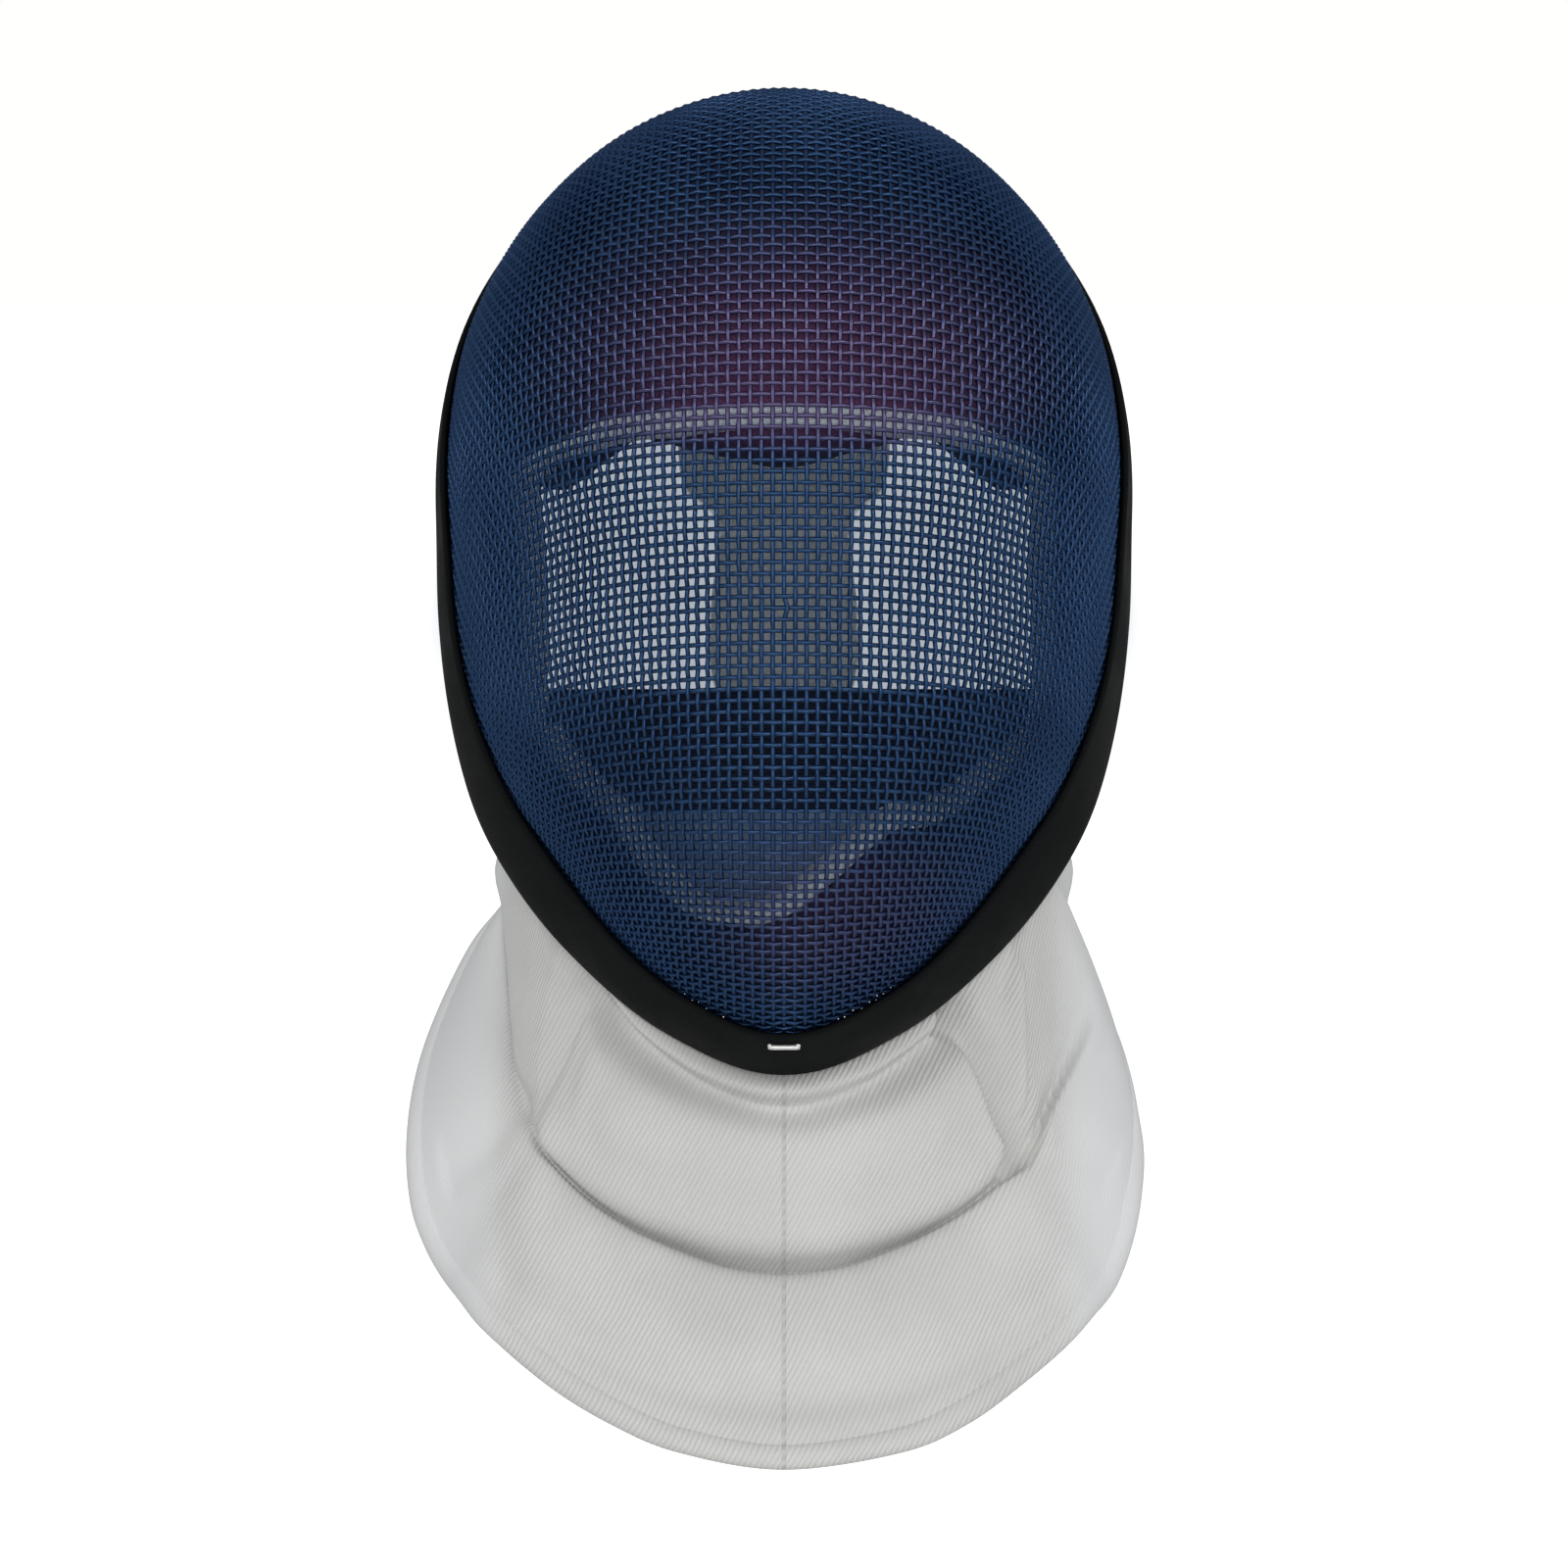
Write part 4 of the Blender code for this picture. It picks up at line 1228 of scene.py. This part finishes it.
# %% Where the bib runs
# turn round the neck and direction of the trim in degrees, then the crease and the hem
BIB_SECTIONS = (
    (0, -90.0, (0, 75, -189), (0, 18, -233.5)),
    (17, -83.0, (15, 76.5, -187.5), (28.5, 26, -230.5)),
    (30, -78.0, (27, 80, -184), (47, 38, -225.5)),
    (45, -72.0, (41, 85, -178.5), (66.5, 56, -218)),
    (60, -64.0, (57, 92, -169), (87.5, 76, -206.5)),
    (72, -57.0, (71, 101, -156), (100, 93, -192)),
    (82, -50.0, (79, 113, -139), (111.5, 110.5, -173)),
    (90, -45.5, (82, 125, -122), (114.5, 125, -151)),
    (98, -42.0, (84, 137, -104), (111, 141, -128)),
    (106, -39.5, (86, 147, -89), (99, 154, -100)),
    (111, -38.0, (85, 152, -82), (86.5, 155.5, -86.5)),
)
# how far to the right the hem lies on the right side, row by row
RIGHT_HEM = (0, 32, 50, 66.5, 85, 98.5, 107, 109.5, 104.5, 91, 84)
HEM_ROLL, HEM_SEAM = 4.6 * MM, 0.6 * MM
SHORTEST_APRON = 0.6                   # the hem takes at most this part of a short apron


def bib_rows():
    """The table of sections as plain rows from the left ear round to the right one."""
    right, left = [], []
    for (turn, trim_at, crease, hem), hem_right in zip(BIB_SECTIONS, RIGHT_HEM):
        right.append((turn, trim_at, *crease, hem_right, *hem[1:]))
        if turn > 0:
            left.append((-turn, -180 - trim_at, -crease[0], *crease[1:], -hem[0], *hem[1:]))
    return np.array(left[::-1] + right)


BIB_ROWS = bib_rows()
LAST_TURN = BIB_ROWS[-1, 0]


def bib_sections(turn):
    """Trim direction, crease and hem of the bib at turns round the neck, in degrees."""
    values = read_rows(BIB_ROWS, np.interp(turn, BIB_ROWS[:, 0], np.arange(len(BIB_ROWS))))
    crease, hem = values[:, 2:5] * MM, values[:, 5:8] * MM
    apron = crease - hem
    share = np.minimum(SHORTEST_APRON, (HEM_ROLL + HEM_SEAM) / np.linalg.norm(apron, axis=1))
    return np.radians(values[:, 1]), crease, hem + apron * share[:, None]


print("sections of the bib:", len(BIB_ROWS), "up to", LAST_TURN, "degrees")

# %% [markdown]
# Folds in stiff cloth are lines, not waves. Each is given as a few spots, in degrees round the
# neck and rows down the bib, with a width and a height. A valley runs under the whole trim,
# the neck swells below it and turns in sharply above the crease, and on both sides a pleat
# runs down to the corner where neck, apron and wing meet.

# %% The bib's folds
NECK_LONG, APRON_LONG, ROUND_LONG = 56.0, 66.0, 1.5        # millimetres per row and per degree
FOLDS_BEGIN, FOLDS_END = (0.0, 0.1), (1.85, 1.99)          # rows
# height and width in millimetres, and the spots of the line
WRINKLES = (
    (-8.4, 3.3, (
        (-62, 0.19), (-50, 0.215), (-30, 0.24), (0, 0.235), (30, 0.245), (48, 0.22), (58, 0.19))),
    (1.6, 9.0, ((-46, 0.5), (0, 0.48), (42, 0.5))),
    (3.4, 7.5, ((-66, 0.82), (-40, 0.82), (0, 0.8), (38, 0.82), (60, 0.8))),
    (-1.0, 4.0, ((-78, 0.99), (-40, 1.0), (0, 1.01), (40, 1.0), (68, 0.98))),
    (-2.4, 3.2, ((-64, 0.2), (-68, 0.44), (-75, 0.78), (-81, 0.98))),
    (1.4, 5.0, ((-55, 0.32), (-60, 0.6), (-70, 0.86))),
    (-2.6, 2.2, ((-80, 0.22), (-73, 0.2), (-66, 0.165))),
    (-1.0, 2.4, ((-82, 0.33), (-72, 0.27))),
    (-7.0, 5.2, ((55, 0.15), (60, 0.4), (66, 0.7), (69, 0.96))),
    (2.6, 3.0, ((50, 0.2), (54, 0.45), (60, 0.72))),
    (3.0, 4.0, ((76, 0.3), (73, 0.5), (70, 0.72))),
    (-1.8, 2.2, ((72, 0.3), (80, 0.2))),
    (-1.5, 4.5, ((68, 1.0), (77, 1.0), (87, 0.97))),
    (2.4, 5.0, ((74, 1.16), (86, 1.14))),
    (-2.6, 5.0, ((72, 1.1), (78, 1.4), (80, 1.7))),
    (-3.4, 4.0, ((-80, 1.02), (-79, 1.4), (-81, 1.74))),
    (2.0, 7.0, ((-68, 1.14), (-66, 1.5))),
    (1.2, 7.0, ((-40, 1.16), (0, 1.16), (44, 1.16))),
    (-3.0, 7.0, ((-60, 1.8), (-30, 1.78), (0, 1.76), (30, 1.78), (60, 1.8))),
)


def cloth_spots(turn, down):
    """Places of the bib in millimetres of cloth, round the neck and down from the trim."""
    long = np.where(down <= 1, down * NECK_LONG, NECK_LONG + (down - 1) * APRON_LONG)
    return np.column_stack((turn * ROUND_LONG, long))


def wrinkles(turn, down):
    """Height of all folds at places of the bib, from their distance to the folds' lines."""
    places = cloth_spots(turn, down)
    height = np.zeros(len(places))
    for lift, wide, line in WRINKLES:
        spots = cloth_spots(*np.array(line, float).T)
        nearest = np.full(len(places), np.inf)
        for start, end in zip(spots[:-1], spots[1:]):
            onward = end - start
            share = np.clip((places - start) @ onward / (onward @ onward), 0, 1)
            gap = np.linalg.norm(places - start - share[:, None] * onward, axis=1)
            nearest = np.minimum(nearest, gap)
        height += lift * MM * bump_at(nearest, 0, wide)
    return height * rise(down, *FOLDS_BEGIN) * (1 - rise(down, *FOLDS_END))


print("folds in the bib:", len(WRINKLES))

# %% [markdown]
# The neck roll and the apron are laid one after the other. The roll bulges outwards in front
# and is tucked in at both sides, and the apron bows up between its crease and its hem. On the
# right, the two run into one smooth sheet towards the ear, as they do in the photograph. The
# pairs below are turns round the neck in degrees, or rows down the bib, between which a change
# sets in.

# %% The bib's shape
BIB_TUCK, BIB_BULGE, BIB_BOW, NECK_DROP = 1.3 * MM, 11.0 * MM, 9.0 * MM, 0.2
BOW_FROM, BOW_EARLY = 45.0 * MM, 0.75  # an apron shorter than this bows less
SIDE_TUCK, TUCK_STARTS, TUCK_ENDS, TUCK_LOST = 9.0 * MM, (48, 76), (105, 111), 0.45
SIDE_BOW, SHEET_STARTS, SHEET_ENDS = 6.0 * MM, (76, 92), (97, 105)
BIB_UP, UP_ROWS = np.array((0, -0.5, 0.85)), (0.85, 1.1)
# turn, width in degrees and height of broad folds that run down the apron
BIB_FOLDS = ((-76, 7, -5.0 * MM), (-58, 9, 2.5 * MM), (72, 6, -4.0 * MM), (84, 6, 3.0 * MM))
FOLD_FULL = 0.6                        # part of the apron's length where they are full


def neck_points(turn, down, top, crease, out):
    """Points of the neck roll, from the trim (0) to the crease (1)."""
    neck = np.clip(down, 0, 1)[:, None]
    drop, bulge = (crease - top) * NECK_DROP, out * BIB_BULGE * 4 / 3
    roll = bezier(top, top + bulge + drop, crease + bulge - drop, crease, neck)
    tucked = SIDE_TUCK * rise(abs(turn), *TUCK_STARTS)
    tucked = tucked * (1 - TUCK_LOST * rise(abs(turn), *TUCK_ENDS))
    return roll - out * (tucked * np.sin(math.pi * neck[:, 0]))[:, None]


def apron_points(turn, down, crease, hem):
    """Points of the apron, from the crease (1) to the hem (2)."""
    share = np.clip(down - 1, 0, 1)
    wide = np.minimum(1, np.linalg.norm(hem - crease, axis=1) / BOW_FROM)
    lift = BIB_BOW * wide * np.sin(math.pi * share ** BOW_EARLY)
    folds = sum(height * bump_at(turn, at, wide) for at, wide, height in BIB_FOLDS)
    lift = lift + folds * np.sin(math.pi * np.minimum(share, FOLD_FULL) / (2 * FOLD_FULL))
    return crease + (hem - crease) * share[:, None] + BIB_UP * lift[:, None]


def bib_place(turn, down):
    """Points of the bib: the neck roll from 0 to 1, and the apron from 1 to 2."""
    trim_at, crease, hem = bib_sections(turn)
    angle = np.radians(turn)
    out = np.column_stack((np.sin(angle), -np.cos(angle), 0 * angle))
    top = near_rim(trim_at, -(TRIM_RUBBER + BIB_TUCK), 0.0)
    surface = np.where(
        (down <= 1)[:, None], neck_points(turn, down, top, crease, out),
        apron_points(turn, down, crease, hem))
    whole = np.clip(down / 2, 0, 1)[:, None]
    sheet = bezier(top, top + out * SIDE_BOW, hem + out * SIDE_BOW / 2, hem, whole)
    as_sheet = rise(turn, *SHEET_STARTS) * (1 - rise(turn, *SHEET_ENDS))
    surface = surface + (sheet - surface) * as_sheet[:, None]
    facing = out + (BIB_UP - out) * rise(down, *UP_ROWS)[:, None]
    return surface + facing * wrinkles(turn, down)[:, None]


front_crease = bib_place(np.zeros(1), np.ones(1))[0]
print("crease in front, mm:", np.round(front_crease / MM, 1))

# %% [markdown]
# The twill is white with slanting ribs, whose grooves are painted a little greyer as painted
# shade. The wings at both sides turn away from the camera and are painted one cool, paler
# plain white as painted light, and a seam runs down the middle. The ribs are level with the
# front and are wrapped round the sides of the neck.

# %% White twill
RIB_SLANT = math.radians(61)
NECK_MIDDLE, WRAP_FROM, WRAP_RADIUS = 0.165, 0.9, 70 * MM
WING_STARTS, WING_RIBS = (0.074, 0.094), 0.2
PLAIN_WHITE, PALE_WHITE = (0.655, 0.655, 0.645, 1), (0.705, 0.705, 0.695, 1)
# painted light: the wings at both sides, turned away from the camera, are painted this paler cool
# white
PAINTED_WING_LIGHT = (0.725, 0.735, 0.75, 1)
# painted shade: the grooves between the ribs are darkened towards this grey
GROOVE_SHADE_GREY, GROOVE_SHADE_SHARE = (0.46, 0.46, 0.43, 1), 0.38
SEAM_GREY, SEAM_SHARE, SEAM_EDGES = (0.3, 0.3, 0.28, 1), 0.2, (0.0007, 0.0002)


def map_ribs(piece):
    """Cloth map of the twill: slanting ribs, level with the front and wrapped at the sides."""
    own = (get_points(piece) + SEAT) @ TURN
    turned = np.arctan2(own[:, 0], NECK_MIDDLE - own[:, 1])
    wrap = np.sign(turned) * np.maximum(0, abs(turned) - WRAP_FROM) * WRAP_RADIUS
    wrapped = own[:, 0] + wrap
    first = wrapped * math.sin(RIB_SLANT) - own[:, 2] * math.cos(RIB_SLANT)
    second = wrapped * math.cos(RIB_SLANT) + own[:, 2] * math.sin(RIB_SLANT)
    set_cloth_map(piece, first, second)


twill, tree, shader = new_material("white twill", {"Roughness": 0.88})
cloth = place_group(tree, ribs, place=cloth_place(tree), rib=1.43, thread=0.7)
parts = add_grain(tree, cloud_size=40.0, speck_size=0.6)
aside = calculate(tree, "ABSOLUTE", split_place(tree, object_place(tree))["X"])
wing = from_range(tree, aside, *WING_STARTS)
shown = from_range(tree, wing, 0, 1, 1, WING_RIBS)
white = blend_colours(tree, parts["Cloud"], PLAIN_WHITE, PALE_WHITE)
# painted light on the wings at both sides of the bib
wings_painted_lit = blend_colours(tree, wing, white, PAINTED_WING_LIGHT)
# painted shade in the grooves of the ribs
groove = calculate(tree, "MULTIPLY", cloth["Groove"], GROOVE_SHADE_SHARE)
groove_shaded = blend_colours(tree, calculate(tree, "MULTIPLY", groove, shown), wings_painted_lit, GROOVE_SHADE_GREY)
seam = from_range(tree, aside, *SEAM_EDGES)
sewn = blend_colours(tree, calculate(tree, "MULTIPLY", seam, SEAM_SHARE), groove_shaded, SEAM_GREY)
feed(tree, shader.inputs["Base Color"], sewn)
raised = calculate(tree, "MULTIPLY", cloth["Height"], shown)
add_bump(tree, shader, calculate(tree, "SUBTRACT", raised, seam), 0.26 * MM)
print("twill nodes:", len(tree.nodes))

# %% [markdown]
# One grid is laid over the bib, with a little more than half of its rows on the neck, where
# the folds are close. The cloth map goes on before the cloth gets its thickness.

# %% Lay the bib
BIB_CLOTH = 2.4 * MM
NECK_SHARE = 0.52


def bib_down(down):
    """Rows of the grid shared out between the neck roll and the apron."""
    onward = 1 + (down - NECK_SHARE) / (1 - NECK_SHARE)
    return np.where(down < NECK_SHARE, down / NECK_SHARE, onward)


bib, across, down = lay_grid(224, 96, lambda across, down: bib_place(
    LAST_TURN * (2 * across - 1), bib_down(down)))
map_ribs(bib)
face_way(bib, (0, -1, 0))
apply_modifier(bib, "SOLIDIFY", thickness=BIB_CLOTH, offset=-1)
file_piece(bib, "twill_bib", twill, "white_twill", "bib")

# %% [markdown]
# The hem is bound with a band of the same twill. It is run as a round cord along the edge of
# the apron and then drawn wider across the edge, so that it lies as a flat band.

# %% The bound hem
HEM_BAND, HEM_THICK = 7.6 * MM, 5.2 * MM
ABOVE_HEM = 1.8                        # row that gives the way outwards at the hem


def hem_path(points):
    """World points of the middle of the bound hem, and the way outwards at each of them."""
    turn = np.linspace(-LAST_TURN, LAST_TURN, points)
    hem, above = (bib_place(turn, np.full(points, row)) for row in (2.0, ABOVE_HEM))
    along = unit(np.gradient(hem, axis=0))
    onward = hem - above
    onward = unit(onward - along * np.sum(onward * along, axis=1, keepdims=True))
    under = unit(np.cross(along, onward))
    middle = hem + onward * (HEM_ROLL + HEM_SEAM - HEM_BAND / 2) + under * BIB_CLOTH / 2
    return worn(middle), onward @ TURN.T


path, onward = hem_path(300)
hem = run_cords([path], HEM_THICK, 16)
points = get_points(hem)
nearest = np.array([np.argmin(np.sum((path - point) ** 2, axis=1)) for point in points])
beside = np.sum((points - path[nearest]) * onward[nearest], axis=1, keepdims=True)
set_points(hem, points + onward[nearest] * beside * (HEM_BAND / HEM_THICK - 1))
map_ribs(hem)
file_piece(hem, "bound_hem", twill, "white_twill", "bib_hem")

# %% [markdown]
# ## Camera
#
# The photograph is taken from a little below the middle of the face, a metre away, with a long
# lens. The camera looks along the depth of the mask's own frame, so it shares the mask's tilt.

# %% Camera
CAMERA_AWAY, CAMERA_HEIGHT = 1000 * MM, -47.37 * MM
PICTURE, FOCAL_PIXELS, SENSOR = 1600, 3800, 36.0

camera_data = bpy.data.cameras.new("camera")
camera = bpy.data.objects.new("camera", camera_data)
bpy.context.scene.collection.objects.link(camera)
camera.location = Vector(worn((0, -CAMERA_AWAY, CAMERA_HEIGHT)))
camera.rotation_euler = (math.pi / 2 - WORN_TILT, 0, 0)
camera_data.sensor_width = SENSOR
camera_data.lens = SENSOR * FOCAL_PIXELS / PICTURE
bpy.context.scene.camera = camera
print("lens, mm:", round(camera_data.lens, 1))

# %% [markdown]
# ## Floor
#
# The photograph has a plain near-white ground with no shadow on it. A wide pale floor, well
# below the mask, gives the same: towards the camera it glows as white as the ground. The
# holes of the wire show grey in the photograph, so the floor has a soft dark shade far behind
# the mask. From the front, that shade only shows through the wire.

# %% Floor
FLOOR_DEPTH, FLOOR_SIZE = 0.95, 60
FAR_SPOT, FAR_REACH, FAR_FADES = (0.0, 10.6, 0.0), (1.05, 7.2, 1.0), (1.0, 0.75)
GLOW, FAR_SHADE = (1, 1, 1, 1), (0.06, 0.1, 0.16, 1)

ground, tree, shader = new_material("pale ground", {"Roughness": 0.9})
parts = add_grain(tree, cloud_size=900.0, speck_size=4.0)
pale = blend_colours(tree, parts["Cloud"], (0.9, 0.9, 0.89, 1), (0.92, 0.92, 0.91, 1))
feed(tree, shader.inputs["Base Color"], pale)
shade = from_range(tree, spot_distance(tree, FAR_SPOT, FAR_REACH), *FAR_FADES)
feed(tree, shader.inputs["Emission Color"], blend_colours(tree, shade, GLOW, FAR_SHADE))
seen = add_node(tree, "ShaderNodeLightPath").outputs["Is Camera Ray"]
feed(tree, shader.inputs["Emission Strength"], seen)

deselect()
bpy.ops.mesh.primitive_plane_add(size=FLOOR_SIZE, location=(0, 0, -FLOOR_DEPTH))
floor = bpy.context.object
floor.name = "floor"
floor.data.materials.append(ground)
print("floor below the seat, m:", FLOOR_DEPTH)

# %% [markdown]
# ## Light
#
# Large soft lamps light the mask: two warm ones from above at both sides, a wide one from the
# front, and two cool ones farther round at its sides. The world is white to the camera, and
# lights the mask with less than that.

# %% World and lamps
WORLD_LIGHT, WORLD_SEEN = 0.38, 1.0
MASK_MIDDLE = Vector((0, -0.05, -0.16))
WARM, COOL = (1.0, 0.985, 0.96), (0.86, 0.93, 1.0)
# name, place, size in metres, power in watts and colour
LAMPS = (
    ("left key", (-0.8, -1.1, 1.0), 0.5, 6, WARM),
    ("right key", (0.8, -1.1, 1.0), 0.5, 6, WARM),
    ("front lamp", (0.1, -1.9, 0.1), 0.9, 8, (1.0, 1.0, 0.99)),
    ("left lamp", (-1.4, -0.9, 0.0), 0.8, 1.4, COOL),
    ("right lamp", (1.4, -0.7, 0.1), 0.8, 2.2, COOL),
)

bpy.context.scene.view_settings.view_transform = "Standard"
world = bpy.data.worlds.new("studio")
bpy.context.scene.world = world
world.use_nodes = True
background = world.node_tree.nodes["Background"]
background.inputs["Color"].default_value = (1.0, 1.0, 0.99, 1.0)
seen = add_node(world.node_tree, "ShaderNodeLightPath").outputs["Is Camera Ray"]
strength = from_range(world.node_tree, seen, 0, 1, WORLD_LIGHT, WORLD_SEEN)
feed(world.node_tree, background.inputs["Strength"], strength)

for name, place, size, power, colour in LAMPS:
    data = bpy.data.lights.new(name, "AREA")
    data.size = size
    data.energy = power
    data.color = colour
    lamp = bpy.data.objects.new(name, data)
    bpy.context.scene.collection.objects.link(lamp)
    lamp.location = place
    aim = MASK_MIDDLE - Vector(place)
    lamp.rotation_euler = aim.to_track_quat("-Z", "Y").to_euler()
print("lamps:", len(LAMPS))
